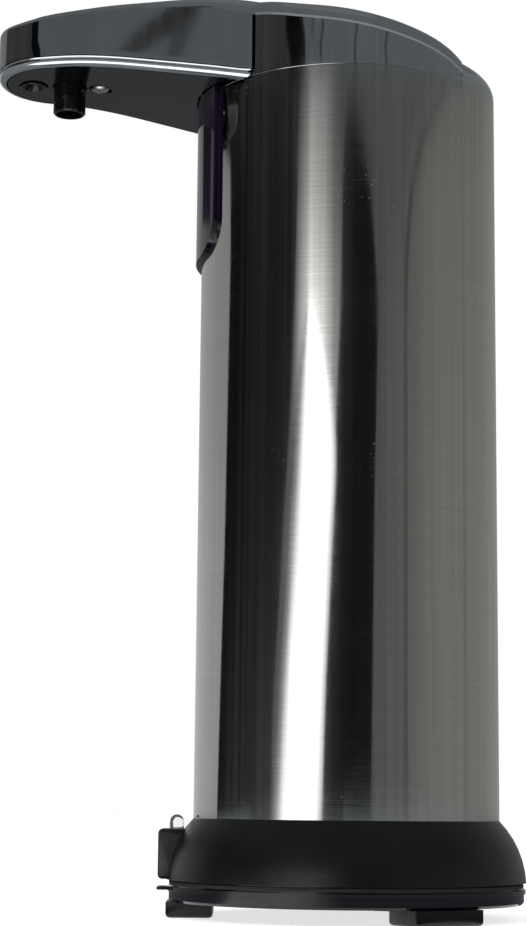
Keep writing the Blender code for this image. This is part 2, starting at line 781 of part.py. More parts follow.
def make_base_ring():
    outer = ring_arc(RING_ARC_RADIUS, RING_TOP, RING_BOTTOM, 6)
    inner = ring_arc(RING_ARC_RADIUS - RING_WALL, DECK_BOTTOM, RING_BOTTOM, 3)[::-1]
    spigot_top = RING_TOP + SPIGOT_HEIGHT
    profile = [(0, RING_TOP), (SPIGOT_INNER, RING_TOP), (SPIGOT_INNER, spigot_top), (SPIGOT_OUTER, spigot_top),
               (SPIGOT_OUTER, RING_TOP), *outer, *inner, (0, DECK_BOTTOM)]
    ring_body = turned("base_ring", profile, "satin_black")
    block = box("block_at_the_front", (-BLOCK_REACH, -BLOCK_WIDTH / 2, RING_BOTTOM + FINE_GAP),
                (BLOCK_DEPTH - BLOCK_REACH, BLOCK_WIDTH / 2, BLOCK_TOP), bevel=BLOCK_BEVEL)
    join(ring_body, block)
    floor = pocket_floor()
    cut(ring_body,
        rod("pin_bore", PIN_HEAD_RADIUS + FINE_GAP, floor, BLOCK_TOP + OVERRUN, (PIN_X, 0)),
        rod("pin_stem_hole", PIN_STEM_RADIUS + FINE_GAP, RING_BOTTOM - OVERRUN, floor + OVERRUN, (PIN_X, 0)),
        box("lead_notch", (SPIGOT_INNER - OVERRUN, -LEAD_NOTCH_WIDTH / 2, RING_TOP),
            (SPIGOT_OUTER + OVERRUN, LEAD_NOTCH_WIDTH / 2, spigot_top + OVERRUN)))
    for side in (-1, 1):
        cut(ring_body, rod("lead_hole_%s" % ("right" if side > 0 else "left"), LEAD_HOLE_RADIUS,
                           DECK_BOTTOM - OVERRUN, RING_TOP + OVERRUN, (LEAD_CIRCLE, side * LEAD_SPACING / 2)))
    return ring_body


def pocket_floor():
    """Floor of the latch pin's spring pocket."""
    return pin_head_bottom() - PIN_SPRING_LENGTH - 2 * PIN_SPRING_CLEARANCE


def pin_head_bottom():
    return BLOCK_TOP + PIN_PROUD - PIN_HEAD_LENGTH


def make_latch_pin():
    top = BLOCK_TOP + PIN_PROUD
    bottom = pin_head_bottom()
    stem_end = RING_BOTTOM + PIN_TRAVEL + SEAT_GAP
    crown = arc((0, top - PIN_HEAD_RADIUS), PIN_HEAD_RADIUS, math.pi / 2, 0, 5)
    crown[0] = (0, top)
    profile = [*crown, (PIN_HEAD_RADIUS, bottom), (PIN_STEM_RADIUS, bottom), (PIN_STEM_RADIUS, stem_end),
               (0, stem_end)]
    pin = turned("latch_pin", profile, "clear_plastic", (PIN_X, 0, 0), segments=PIN_SEGMENTS)
    hang_on(pin, LATCH_PRESS)
    inner = PIN_STEM_RADIUS + FINE_GAP
    mean = (inner + PIN_HEAD_RADIUS) / 2
    low = pocket_floor() + PIN_SPRING_CLEARANCE + PIN_SPRING_WIRE / 2
    high = bottom - PIN_SPRING_CLEARANCE - PIN_SPRING_WIRE / 2
    path = coil_path((PIN_X, 0), mean, low, high, PIN_SPRING_TURNS, 6)
    tube_along("latch_spring", path, PIN_SPRING_WIRE / 2, "spring_steel", 1)


def make_battery_cover():
    reach = BASE_RADIUS - COVER_SETBACK
    flange = BASE_RADIUS - COVER_FLANGE_SETBACK
    flange_bottom = COVER_TOP - COVER_FLANGE_THICKNESS
    rim = BASE_RADIUS - RING_WALL - SEAT_GAP
    rim_top = COVER_TOP + COVER_RIM_HEIGHT
    profile = [(0, COVER_TOP), (rim - COVER_RIM_WALL, COVER_TOP), (rim - COVER_RIM_WALL, rim_top),
               (rim - SMALL_BEVEL, rim_top), (rim, rim_top - SMALL_BEVEL), (rim, COVER_TOP),
               (flange, COVER_TOP), (flange, flange_bottom), (reach, flange_bottom),
               (reach, COVER_BOTTOM + FOOT_BEVEL), (reach - FOOT_BEVEL, COVER_BOTTOM), (0, COVER_BOTTOM)]
    cover = turned("battery_cover", profile, "gloss_black")
    join(cover, box("lip_tab", (-LIP_REACH, -LIP_WIDTH / 2, flange_bottom + FINE_GAP),
                    (-reach + OVERRUN, LIP_WIDTH / 2, COVER_TOP - FINE_GAP), bevel=FOOT_BEVEL / 2))
    cut(cover, box("rim_notch", (-BASE_RADIUS, -BLOCK_WIDTH / 2 - SEAT_GAP, COVER_TOP),
                   (BLOCK_DEPTH - BLOCK_REACH + OVERRUN, BLOCK_WIDTH / 2 + SEAT_GAP, rim_top + OVERRUN)))
    hang_on(cover, COVER_SLIDE)
    seal_low = COVER_TOP + SEAT_GAP
    seal = ring("cover_seal", flange - SEAT_GAP, flange - SEAT_GAP - SEAL_WIDTH, seal_low,
                RING_BOTTOM - SEAT_GAP, finish="black_rubber", segments=INNER_SEGMENTS)
    hang_on(seal, COVER_SLIDE)


def make_feet():
    """Three blocks with rounded lower edges, cut off square where they meet the plate."""
    above = box("above_the_feet", (-FOOT_REACH - OVERRUN, -FOOT_REACH - OVERRUN, FOOT_HEIGHT),
                (FOOT_REACH + OVERRUN, FOOT_REACH + OVERRUN, FOOT_HEIGHT + 2 * OVERRUN))
    for index, angle in enumerate((math.pi, math.pi / 3, -math.pi / 3)):
        foot = box("foot_%d" % (index + 1), (FOOT_REACH - FOOT_DEPTH, -FOOT_WIDTH / 2, 0),
                   (FOOT_REACH, FOOT_WIDTH / 2, FOOT_HEIGHT + OVERRUN), "satin_black", FOOT_BEVEL)
        cut(foot, above)
        spot = Matrix.Rotation(angle, 3, "Z") @ Vector(foot.location)
        foot.location = spot
        foot.rotation_euler = (0, 0, angle)
        hang_on(foot, COVER_SLIDE)


# Batteries

def cell_level():
    """Height of the cells' axes, just under the deck."""
    return DECK_BOTTOM - SEAT_GAP - CELL_RADIUS


def cell_rows():
    return [(i - 1.5) * 2 * CELL_RADIUS + (i - 1.5) * SEAT_GAP for i in range(4)]


def make_tray():
    top = DECK_BOTTOM - SEAT_GAP
    bottom = top - TRAY_HEIGHT
    half_x = CELL_LENGTH / 2 + CONTACT_SPACE
    half_y = cell_rows()[-1] + CELL_RADIUS + SEAT_GAP
    tray = box("battery_tray", (-half_x - TRAY_WALL, -half_y - TRAY_WALL, bottom),
               (half_x + TRAY_WALL, half_y + TRAY_WALL, top), "grey_plastic")
    cut(tray, box("cell_space", (-half_x, -half_y, bottom - OVERRUN), (half_x, half_y, top + OVERRUN)))
    rows = cell_rows()
    for index, (a, b) in enumerate(zip(rows, rows[1:])):
        middle = (a + b) / 2
        join(tray, box("cell_rib_%d" % index, (-half_x - TRAY_WALL / 2, middle - TRAY_RIB_WIDTH / 2,
                                               top - TRAY_RIB_HEIGHT),
                       (half_x + TRAY_WALL / 2, middle + TRAY_RIB_WIDTH / 2, top)))
    for index, y in enumerate(rows):
        cut(tray, lying_rod("cell_clearance_%d" % index, CELL_RADIUS + SEAT_GAP,
                            (-half_x + FINE_GAP, y, cell_level()), (half_x - FINE_GAP, y, cell_level())))
    tail_low = cell_level() - CONTACT_TAIL / 2 - SEAT_GAP
    for index, y in enumerate((rows[0], rows[-1])):
        cut(tray, box("tail_slot_%d" % index, (half_x - OVERRUN, y - CONTACT_TAIL / 2 - SEAT_GAP, tail_low),
                      (half_x + TRAY_WALL + OVERRUN, y + CONTACT_TAIL / 2 + SEAT_GAP,
                       cell_level() + CONTACT_TAIL / 2 + SEAT_GAP)))
    envelope = ring_arc(RING_ARC_RADIUS - RING_WALL - SEAT_GAP, DECK_BOTTOM, RING_BOTTOM, 3)
    keep(tray, turned("tray_envelope", [(0, DECK_BOTTOM), *envelope, (0, RING_BOTTOM)]))
    return tray


def make_cells():
    """Four cells in a row, each turned about from its neighbour."""
    body_length = CELL_LENGTH - CELL_NUB_LENGTH
    for index, y in enumerate(cell_rows()):
        nub = CELL_LENGTH / 2
        shoulder = nub - CELL_NUB_LENGTH
        profile = [(0, nub), (CELL_NUB_RADIUS, nub), (CELL_NUB_RADIUS, shoulder),
                   (CELL_RADIUS - SMALL_BEVEL, shoulder), (CELL_RADIUS, shoulder - SMALL_BEVEL),
                   (CELL_RADIUS, shoulder - body_length + SMALL_BEVEL),
                   (CELL_RADIUS - SMALL_BEVEL, shoulder - body_length), (0, shoulder - body_length)]
        facing = math.pi / 2 if index % 2 == 0 else -math.pi / 2
        turned("battery_%d" % (index + 1), profile, "cell_wrap", (0, y, cell_level()), (0, facing, 0),
               segments=PIN_SEGMENTS)


def contact(name, end, rows, spring_rows, tail_row=None):
    """A contact plate at one end of the cells, with a coil at each negative pole."""
    plate_x = end * (CELL_LENGTH / 2 + CONTACT_SPACE - SEAT_GAP - CONTACT_THICKNESS / 2)
    half = CONTACT_WIDTH / 2
    low = (plate_x - CONTACT_THICKNESS / 2, min(rows) - half, cell_level() - CONTACT_HEIGHT / 2)
    high = (plate_x + CONTACT_THICKNESS / 2, max(rows) + half, cell_level() + CONTACT_HEIGHT / 2)
    plate = box(name, low, high, "spring_steel")
    for y in spring_rows:
        length = CONTACT_SPACE - 3 * SEAT_GAP - CONTACT_THICKNESS - CONTACT_SPRING_WIRE / 2
        path = coil_path((0, 0), CONTACT_SPRING_RADIUS, 0, length, CONTACT_SPRING_TURNS, 8,
                         CONTACT_SPRING_RADIUS * COIL_TIP_SHARE)
        turned_path = [(plate_x - end * (z + CONTACT_THICKNESS / 2), y + a, cell_level() + b) for a, b, z in path]
        join(plate, tube_along("%s_coil_%d" % (name, rows.index(y)), turned_path, CONTACT_SPRING_WIRE / 2, None, 1))
    if tail_row is not None:
        tail_end = CELL_LENGTH / 2 + CONTACT_SPACE + TRAY_WALL + SEAT_GAP
        join(plate, box(name + "_tail", (plate_x, tail_row - CONTACT_TAIL / 2, cell_level() - CONTACT_THICKNESS),
                        (tail_end, tail_row + CONTACT_TAIL / 2, cell_level())))
    return plate


def make_contacts():
    rows = cell_rows()
    contact("contact_front_left", -1, rows[0:2], rows[0:1])
    contact("contact_front_right", -1, rows[2:4], rows[2:3])
    contact("contact_rear_middle", 1, rows[1:3], rows[1:2])
    contact("contact_positive", 1, rows[0:1], [], rows[0])
    contact("contact_negative", 1, rows[3:4], rows[3:4], rows[3])


def make_leads():
    """The two wires from the cells up behind the tank to the board in the head."""
    tail = CELL_LENGTH / 2 + CONTACT_SPACE + TRAY_WALL + 2 * SEAT_GAP + LEAD_RADIUS
    board_rear = -BUTTON_OFFSET - SWITCH_SIZE / 2 + BOARD_LENGTH / 2
    for name, side, finish in (("lead_positive", -1, "red_wire"), ("lead_negative", 1, "black_wire")):
        y = side * LEAD_SPACING / 2
        row = side * cell_rows()[-1]
        neck_side = side * (NECK_RADIUS + 4 * LEAD_RADIUS)
        points = [(tail, row - side * CONTACT_TAIL / 2, cell_level() - LEAD_RADIUS),
                  (tail, row * LEAD_ROW_SHARES[0], cell_level()),
                  (LEAD_CIRCLE - LEAD_RADIUS, row * LEAD_ROW_SHARES[1], DECK_BOTTOM - 4 * LEAD_RADIUS),
                  (LEAD_CIRCLE, y, DECK_BOTTOM - LEAD_RADIUS),
                  (LEAD_CIRCLE, y, RING_TOP + SPIGOT_HEIGHT),
                  (LEAD_CIRCLE, y, TANK_RIM),
                  (LEAD_CIRCLE, y, TANK_TOP_LEVEL + 4 * LEAD_RADIUS),
                  (LEAD_CIRCLE - 3 * LEAD_RADIUS / 2, 3 * y / 2, TANK_TOP_LEVEL + 9 * LEAD_RADIUS),
                  (NECK_RADIUS + NECK_OFFSET + 3 * LEAD_RADIUS, neck_side / 2,
                   TANK_TOP_LEVEL + TANK_FLANGE_WIDTH * 9),
                  (NECK_OFFSET, neck_side, TANK_TOP_LEVEL + TANK_FLANGE_WIDTH * 15),
                  (-NECK_RADIUS, side * BOARD_WIDTH * LEAD_BOARD_SHARES[0], HEAD_BOTTOM + UNDERSIDE_RISE),
                  (board_rear + 4 * LEAD_RADIUS, side * BOARD_WIDTH * LEAD_BOARD_SHARES[1], board_level()),
                  (board_rear + SEAT_GAP, side * BOARD_WIDTH * LEAD_BOARD_SHARES[2],
                   board_level() + BOARD_THICKNESS / 2)]
        tube_along(name, smooth_path(points, 3), LEAD_RADIUS, finish, 1)


# Tube, window and sensor

def make_body_tube():
    tube = ring("body_tube", TUBE_RADIUS, TUBE_INNER, TUBE_BOTTOM, TUBE_TOP, finish="steel")
    cut(tube, window_plug("window_opening", WINDOW_LAP, -TUBE_RADIUS - OVERRUN, -OVERRUN))
    return tube


def window_bottom():
    return TUBE_TOP + WINDOW_ABOVE_TUBE - WINDOW_HEIGHT


def window_plug(name, inset, front, rear, top=TUBE_TOP + OVERRUN):
    """The window's outline drawn in by an inset and pushed along the tube's front, as a cutter."""
    half = WINDOW_HALF_WIDTH - inset
    radius = WINDOW_CORNER - inset
    low = window_bottom() + inset
    corner = (half - radius, low + radius)
    right = arc(corner, radius, 0, -math.pi / 2, 6)
    outline = [(half, top), *right, *[(-y, z) for y, z in right[::-1]], (-half, top)]
    points = [(x, y, z) for x in (front, rear) for y, z in outline]
    count = len(outline)
    faces = [tuple(range(count)), tuple(range(2 * count - 1, count - 1, -1))]
    faces += [(i, (i + 1) % count, (i + 1) % count + count, i + count) for i in range(count)]
    return add_object(name, mesh_from(points, faces, name))


def make_sensor_window():
    """A curved panel on the tube, with a plug through the tube's opening and pegs for the sensor board."""
    inner = TUBE_RADIUS + SEAT_GAP
    outer = TUBE_RADIUS + WINDOW_PROUD
    low = window_bottom() - OVERRUN
    high = TUBE_TOP + WINDOW_ABOVE_TUBE
    window = ring("sensor_window", outer, inner, low, high, finish="violet_window")
    keep(window, window_plug("window_outline", 0, -outer - OVERRUN, 0, high + OVERRUN))
    plug_top = TUBE_TOP - COLLAR_SPIGOT_HEIGHT - 2 * SEAT_GAP
    plug = ring("window_plug", inner + SEAT_GAP, SPIGOT_OUTER - SEAT_GAP, low, plug_top)
    keep(plug, window_plug("plug_outline", WINDOW_LAP + SEAT_GAP, -outer - OVERRUN, 0))
    join(window, plug)
    board_front = -(TUBE_RADIUS - SENSOR_BOARD_SETBACK)
    for index, (y, z) in enumerate(peg_places()):
        join(window, lying_rod("board_peg_%d" % index, WINDOW_PEG_RADIUS, (-TUBE_INNER, y, z),
                               (board_front - SEAT_GAP, y, z), segments=PIN_SEGMENTS))
    return window


def peg_places():
    """The pegs in line with the sensor board's corners."""
    low = sensor_level() - SENSOR_BOARD_HEIGHT / 2 + 2 * WINDOW_PEG_RADIUS
    return [(0, low), (SENSOR_LED_SPACING / 4, sensor_level() + WINDOW_PEG_RADIUS),
            (-SENSOR_LED_SPACING / 4, sensor_level() + WINDOW_PEG_RADIUS)]


def sensor_level():
    return window_bottom() + (WINDOW_HEIGHT - WINDOW_ABOVE_TUBE - COLLAR_SPIGOT_HEIGHT) / 2 + WINDOW_LAP


def make_sensor():
    front = -(TUBE_RADIUS - SENSOR_BOARD_SETBACK)
    level = sensor_level()
    box("sensor_board", (front, -SENSOR_BOARD_WIDTH / 2, level - SENSOR_BOARD_HEIGHT / 2),
        (front + SENSOR_BOARD_THICKNESS, SENSOR_BOARD_WIDTH / 2, level + SENSOR_BOARD_HEIGHT / 2), "green_board")
    for name, side in (("ir_emitter", -1), ("ir_receiver", 1)):
        y = side * SENSOR_LED_SPACING / 2
        dome = [(r, z) for r, z in arc((0, 0), SENSOR_LED_RADIUS, math.pi / 2, 0, 5)]
        dome[0] = (0, SENSOR_LED_RADIUS)
        base = SENSOR_LED_RADIUS - SENSOR_LED_LENGTH
        turned(name, [*dome, (SENSOR_LED_RADIUS, base), (0, base)], "clear_plastic",
               (front + base - FINE_GAP, y, level), (0, -math.pi / 2, 0), segments=PIN_SEGMENTS)


# Tank

def wire_notch(name, low, high):
    """Room for the two wires behind the tank."""
    return box(name, (LEAD_CIRCLE - LEAD_HOLE_RADIUS, -LEAD_NOTCH_WIDTH / 2, low),
               (TUBE_RADIUS, LEAD_NOTCH_WIDTH / 2, high))


def make_tank():
    flange = TANK_RADIUS + TANK_FLANGE_WIDTH
    under = TANK_RIM - TANK_FLANGE_THICKNESS
    inner = TANK_RADIUS - TANK_WALL
    bottom_round = arc((TANK_RADIUS - TANK_WALL, TANK_BOTTOM + TANK_WALL), TANK_WALL, 0, -math.pi / 2, 3)
    floor = TANK_BOTTOM + TANK_WALL
    profile = [(inner, TANK_RIM), (flange, TANK_RIM), (flange, under), (TANK_RADIUS, under), *bottom_round,
               (0, TANK_BOTTOM), (0, floor), (inner - TANK_WALL, floor), (inner, floor + TANK_WALL)]
    tank = turned("tank", profile, "frosted_plastic", segments=INNER_SEGMENTS)
    cut(tank, wire_notch("tank_wire_notch", under - OVERRUN, TANK_RIM + OVERRUN))
    low = TANK_RIM + SEAT_GAP
    seal = ring("tank_seal", flange, inner, low, low + TANK_SEAL_THICKNESS, finish="black_rubber",
                segments=INNER_SEGMENTS)
    cut(seal, wire_notch("seal_wire_notch", TANK_RIM, low + TANK_SEAL_THICKNESS + OVERRUN))


def make_tank_top():
    """The tank's lid, with the filler neck cut off along the slope of the head."""
    disc = turned("tank_top", [(0, TANK_TOP_LEVEL), (TANK_RADIUS + TANK_FLANGE_WIDTH, TANK_TOP_LEVEL),
                               (TANK_RADIUS + TANK_FLANGE_WIDTH, TANK_TOP_BOTTOM), (0, TANK_TOP_BOTTOM)],
                  "frosted_plastic", segments=INNER_SEGMENTS)
    join(disc, rod("filler_neck", NECK_RADIUS, TANK_TOP_BOTTOM + TANK_TOP_THICKNESS / 2,
                   HEAD_BOTTOM + HEAD_HEIGHT, (NECK_OFFSET, 0), segments=ROUND_SEGMENTS // 2))
    cut(disc, rod("neck_bore", NECK_RADIUS - NECK_WALL, TANK_TOP_BOTTOM - OVERRUN,
                  HEAD_BOTTOM + HEAD_HEIGHT + OVERRUN, (NECK_OFFSET, 0), segments=ROUND_SEGMENTS // 2))
    above_seal = surface_solid("neck_mouth", circle_plan(NECK_RADIUS + OVERRUN, NECK_OFFSET),
                               lambda x, y: seal_bottom(x, y) - SEAT_GAP,
                               lambda x, y: HEAD_BOTTOM + HEAD_HEIGHT + 2 * OVERRUN, strips=TOP_STRIPS)
    cut(disc, above_seal, wire_notch("top_wire_notch", TANK_TOP_BOTTOM - OVERRUN, TANK_TOP_LEVEL + OVERRUN),
        rod("suction_hole", SUCTION_RADIUS + SEAT_GAP, TANK_TOP_BOTTOM - OVERRUN, TANK_TOP_LEVEL + OVERRUN,
            (-SUCTION_OFFSET, 0)))
    return disc


def make_suction_tube():
    pipe = rod("suction_tube", SUCTION_RADIUS, TANK_BOTTOM + SUCTION_CLEAR, TANK_TOP_LEVEL,
               (-SUCTION_OFFSET, 0), "clear_plastic", PIN_SEGMENTS)
    cut(pipe, rod("suction_bore", SUCTION_BORE, TANK_BOTTOM + SUCTION_CLEAR - OVERRUN, TANK_TOP_LEVEL + OVERRUN,
                  (-SUCTION_OFFSET, 0), segments=PIN_SEGMENTS))


# Gear pump

def gear_outer():
    return GEAR_PITCH + GEAR_MODULE - GEAR_TIP_CLEARANCE / 2


def gear_outline(turn):
    """Outline of a spur gear: straight flanks at the tooth, widening to the root."""
    root = GEAR_PITCH - GEAR_MODULE - GEAR_TIP_CLEARANCE
    pitch_half = math.pi / GEAR_TEETH / 2 - GEAR_BACKLASH / GEAR_PITCH / 2
    slope = math.tan(math.radians(20))
    tip_half = pitch_half - GEAR_MODULE * slope / GEAR_PITCH
    root_half = pitch_half + GEAR_MODULE * slope / GEAR_PITCH
    outline = []
    for tooth in range(GEAR_TEETH):
        middle = turn + 2 * math.pi * tooth / GEAR_TEETH
        for radius, angle in ((root, -root_half), (GEAR_PITCH, -pitch_half), (gear_outer(), -tip_half),
                              (gear_outer(), tip_half), (GEAR_PITCH, pitch_half), (root, root_half)):
            outline.append((radius * math.cos(middle + angle), radius * math.sin(middle + angle)))
    return outline


def pump_levels():
    """Levels of the pump: cavity floor, housing top, cover bottom, cover top, motor bottom."""
    cavity = PUMP_BOTTOM + PUMP_FLOOR
    top = cavity + GEAR_HEIGHT + 2 * GEAR_END_GAP
    cover = top + SEAT_GAP
    cover_top = cover + PUMP_COVER_THICKNESS
    return cavity, top, cover, cover_top, cover_top + SEAT_GAP


def make_gears():
    cavity, top, cover, cover_top, motor_bottom = pump_levels()
    low = cavity + GEAR_END_GAP
    high = low + GEAR_HEIGHT
    half_pitch = math.pi / GEAR_TEETH
    for name, side, joint, turn in (("drive_gear", -1, DRIVE_AXLE, 0), ("idler_gear", 1, IDLER_AXLE, half_pitch)):
        place = (-PUMP_OFFSET, side * GEAR_PITCH)
        gear = flat_outline(name, gear_outline(turn + math.pi / 2), low, high, "brass", place)
        shaft_top = motor_bottom + MOTOR_SHAFT_DEPTH if side < 0 else cover + GEAR_SHAFT_LENGTH
        join(gear, rod(name + "_shaft", GEAR_SHAFT_RADIUS, cavity - GEAR_SHAFT_LENGTH, shaft_top, place,
                       segments=PIN_SEGMENTS))
        hang_gear(gear, joint)


def hang_gear(gear, joint):
    """Parent a gear to its axle without moving it."""
    bpy.context.view_layer.update()
    world = gear.matrix_world.copy()
    gear.parent = joint
    gear.matrix_parent_inverse = joint.matrix_world.inverted()
    gear.matrix_world = world


def make_pump():
    cavity, top, cover, cover_top, motor_bottom = pump_levels()
    reach_x = gear_outer() + GEAR_TIP_CLEARANCE + PUMP_SIDE_WALL
    reach_y = GEAR_PITCH + gear_outer() + GEAR_TIP_CLEARANCE + PUMP_END_WALL
    low = (-PUMP_OFFSET - reach_x, -reach_y, PUMP_BOTTOM)
    housing = box("pump_housing", low, (-PUMP_OFFSET + reach_x, reach_y, top), "grey_plastic", SMALL_BEVEL)
    plate = box("pump_cover", (low[0], -reach_y, cover), (-PUMP_OFFSET + reach_x, reach_y, cover_top),
                "grey_plastic", SMALL_BEVEL)
    bore = GEAR_SHAFT_RADIUS + RUNNING_GAP
    outlet_x = -PUMP_OFFSET + PUMP_OUTLET_OFFSET
    channel = cavity - PUMP_FLOOR / 2
    stub_end = reach_y + PUMP_STUB_LENGTH
    join(housing, lying_rod("outlet_stub", PUMP_STUB_RADIUS, (outlet_x, reach_y - PUMP_END_WALL / 2, channel),
                            (outlet_x, stub_end, channel)))
    for side in (-1, 1):
        place = (-PUMP_OFFSET, side * GEAR_PITCH)
        mark = "drive" if side < 0 else "idler"
        cut(housing,
            rod("%s_chamber" % mark, gear_outer() + GEAR_TIP_CLEARANCE, cavity, top + OVERRUN, place,
                segments=2 * SMALL_SEGMENTS),
            rod("%s_lower_bearing" % mark, bore, cavity - GEAR_SHAFT_LENGTH - GEAR_END_GAP, cavity + OVERRUN,
                place))
        through = cover_top + OVERRUN if side < 0 else cover + GEAR_SHAFT_LENGTH + FINE_GAP
        cut(plate, rod("%s_upper_bearing" % mark, bore, cover - OVERRUN, through, place))
    half = PUMP_PORT_HALF_WIDTH
    cut(housing,
        box("inlet_port", (-PUMP_OFFSET - PUMP_PORT_REACH, -half, cavity), (-PUMP_OFFSET, half, top - OVERRUN)),
        box("outlet_port", (-PUMP_OFFSET + FINE_GAP, -half, channel), (-PUMP_OFFSET + PUMP_PORT_REACH, half,
                                                                       top - OVERRUN)),
        rod("inlet_hole", SUCTION_BORE, PUMP_BOTTOM - OVERRUN, cavity + OVERRUN, (-SUCTION_OFFSET, 0)),
        lying_rod("outlet_channel", PUMP_OUTLET_BORE, (outlet_x, 0, channel), (outlet_x, stub_end + OVERRUN,
                                                                               channel)))


def make_motor():
    cavity, top, cover, cover_top, bottom = pump_levels()
    end = bottom + MOTOR_LENGTH
    cap = end + MOTOR_CAP_HEIGHT
    bore = GEAR_SHAFT_RADIUS + RUNNING_GAP
    bore_end = bottom + MOTOR_SHAFT_DEPTH + FINE_GAP
    profile = [(0, cap), (MOTOR_CAP_RADIUS, cap), (MOTOR_CAP_RADIUS, end), (MOTOR_RADIUS - SMALL_BEVEL, end),
               (MOTOR_RADIUS, end - SMALL_BEVEL), (MOTOR_RADIUS, bottom), (bore, bottom), (bore, bore_end),
               (0, bore_end)]
    turned("motor", profile, "spring_steel", (-PUMP_OFFSET, -GEAR_PITCH, 0), segments=SMALL_SEGMENTS)


def make_delivery_tube():
    """The soap's way from the pump's stub, up in front of the neck and along the spout to the nozzle."""
    cavity = PUMP_BOTTOM + PUMP_FLOOR
    level = cavity - PUMP_FLOOR / 2
    x = -PUMP_OFFSET + PUMP_OUTLET_OFFSET
    stub = GEAR_PITCH + gear_outer() + GEAR_TIP_CLEARANCE + PUMP_END_WALL + PUMP_STUB_LENGTH
    r = PUMP_STUB_LENGTH / 2
    port = nozzle_port()
    slack = COLLAR_PASSAGE_HALF_WIDTH
    spout = port[2]
    way = nozzle_port_way()
    points = [(x, stub + SEAT_GAP, level), (x, stub + r, level)]
    for back, side, rise in SOAP_WAY_LOW_SHARES:
        points.append((x - back * r, stub + side * r, level + rise * r))
    points.append((x - 3 * r, slack * SOAP_WAY_TURN_SHARE, level + 11 * r))
    for back, side, rise in SOAP_WAY_HEAD_SHARES:
        points.append((x - back * r, slack * side, HEAD_BOTTOM + rise * r))
    for back, side, rise in SOAP_WAY_SPOUT_SHARES:
        points.append((x - back * r, slack * side, spout + rise * r))
    points += [tuple(p + SOAP_WAY_END_SHARE * r * w for p, w in zip(port, way)), port]
    tube_along("delivery_tube", smooth_path(points, 3), DELIVERY_RADIUS, "clear_plastic", 1)


# Head

def hood_surface():
    """The hood and spout as one open surface: side wall, rounded edge and crowned top."""
    start_sine = math.sin(FILLET_START)
    start_cosine = math.cos(FILLET_START)
    points = []
    rings = []

    def add_ring(inset, level):
        loop = mirrored_loop(head_plan(inset))
        rings.append(range(len(points), len(points) + len(loop)))
        points.extend((x, y, level(x, y)) for x, y in loop)

    add_ring(0, lambda x, y: wall_bottom(x))
    add_ring(0, lambda x, y: crease_level(x))
    for k in range(1, FILLET_STEPS + 1):
        angle = FILLET_START + (math.pi / 2 - FILLET_START) * k / FILLET_STEPS
        rise = FILLET_HEIGHT * (math.sin(angle) - start_sine) / (1 - start_sine)
        inset = FILLET_INSET * (1 - math.cos(angle) / start_cosine)
        add_ring(inset, lambda x, y: crease_level(x) + rise)
    faces = []
    count = len(rings[0])
    for low, high in zip(rings, rings[1:]):
        faces += [(low[i], low[(i + 1) % count], high[(i + 1) % count], high[i]) for i in range(count)]
    plan = head_plan(FILLET_INSET)
    border = rings[-1]
    rows = []
    for index, (x, half) in enumerate(plan):
        row = [border[index]]
        if 0 < index < len(plan) - 1:
            for j in range(1, TOP_STRIPS):
                y = half * (1 - 2 * j / TOP_STRIPS)
                row.append(len(points))
                points.append((x, y, top_level(x, y)))
            row.append(border[count - index])
        rows.append(row)
    for a, b in zip(rows, rows[1:]):
        faces += strip_faces(a, b)
    return mesh_from(points, faces, "head_shell")


def wall_bottom(x):
    """Lower edge of the hood's wall: on the trim along the spout, and just under the crease on the drum."""
    return min(under_level(x) + TRIM_HEIGHT + FINE_GAP, crease_level(x) - OVERRUN)


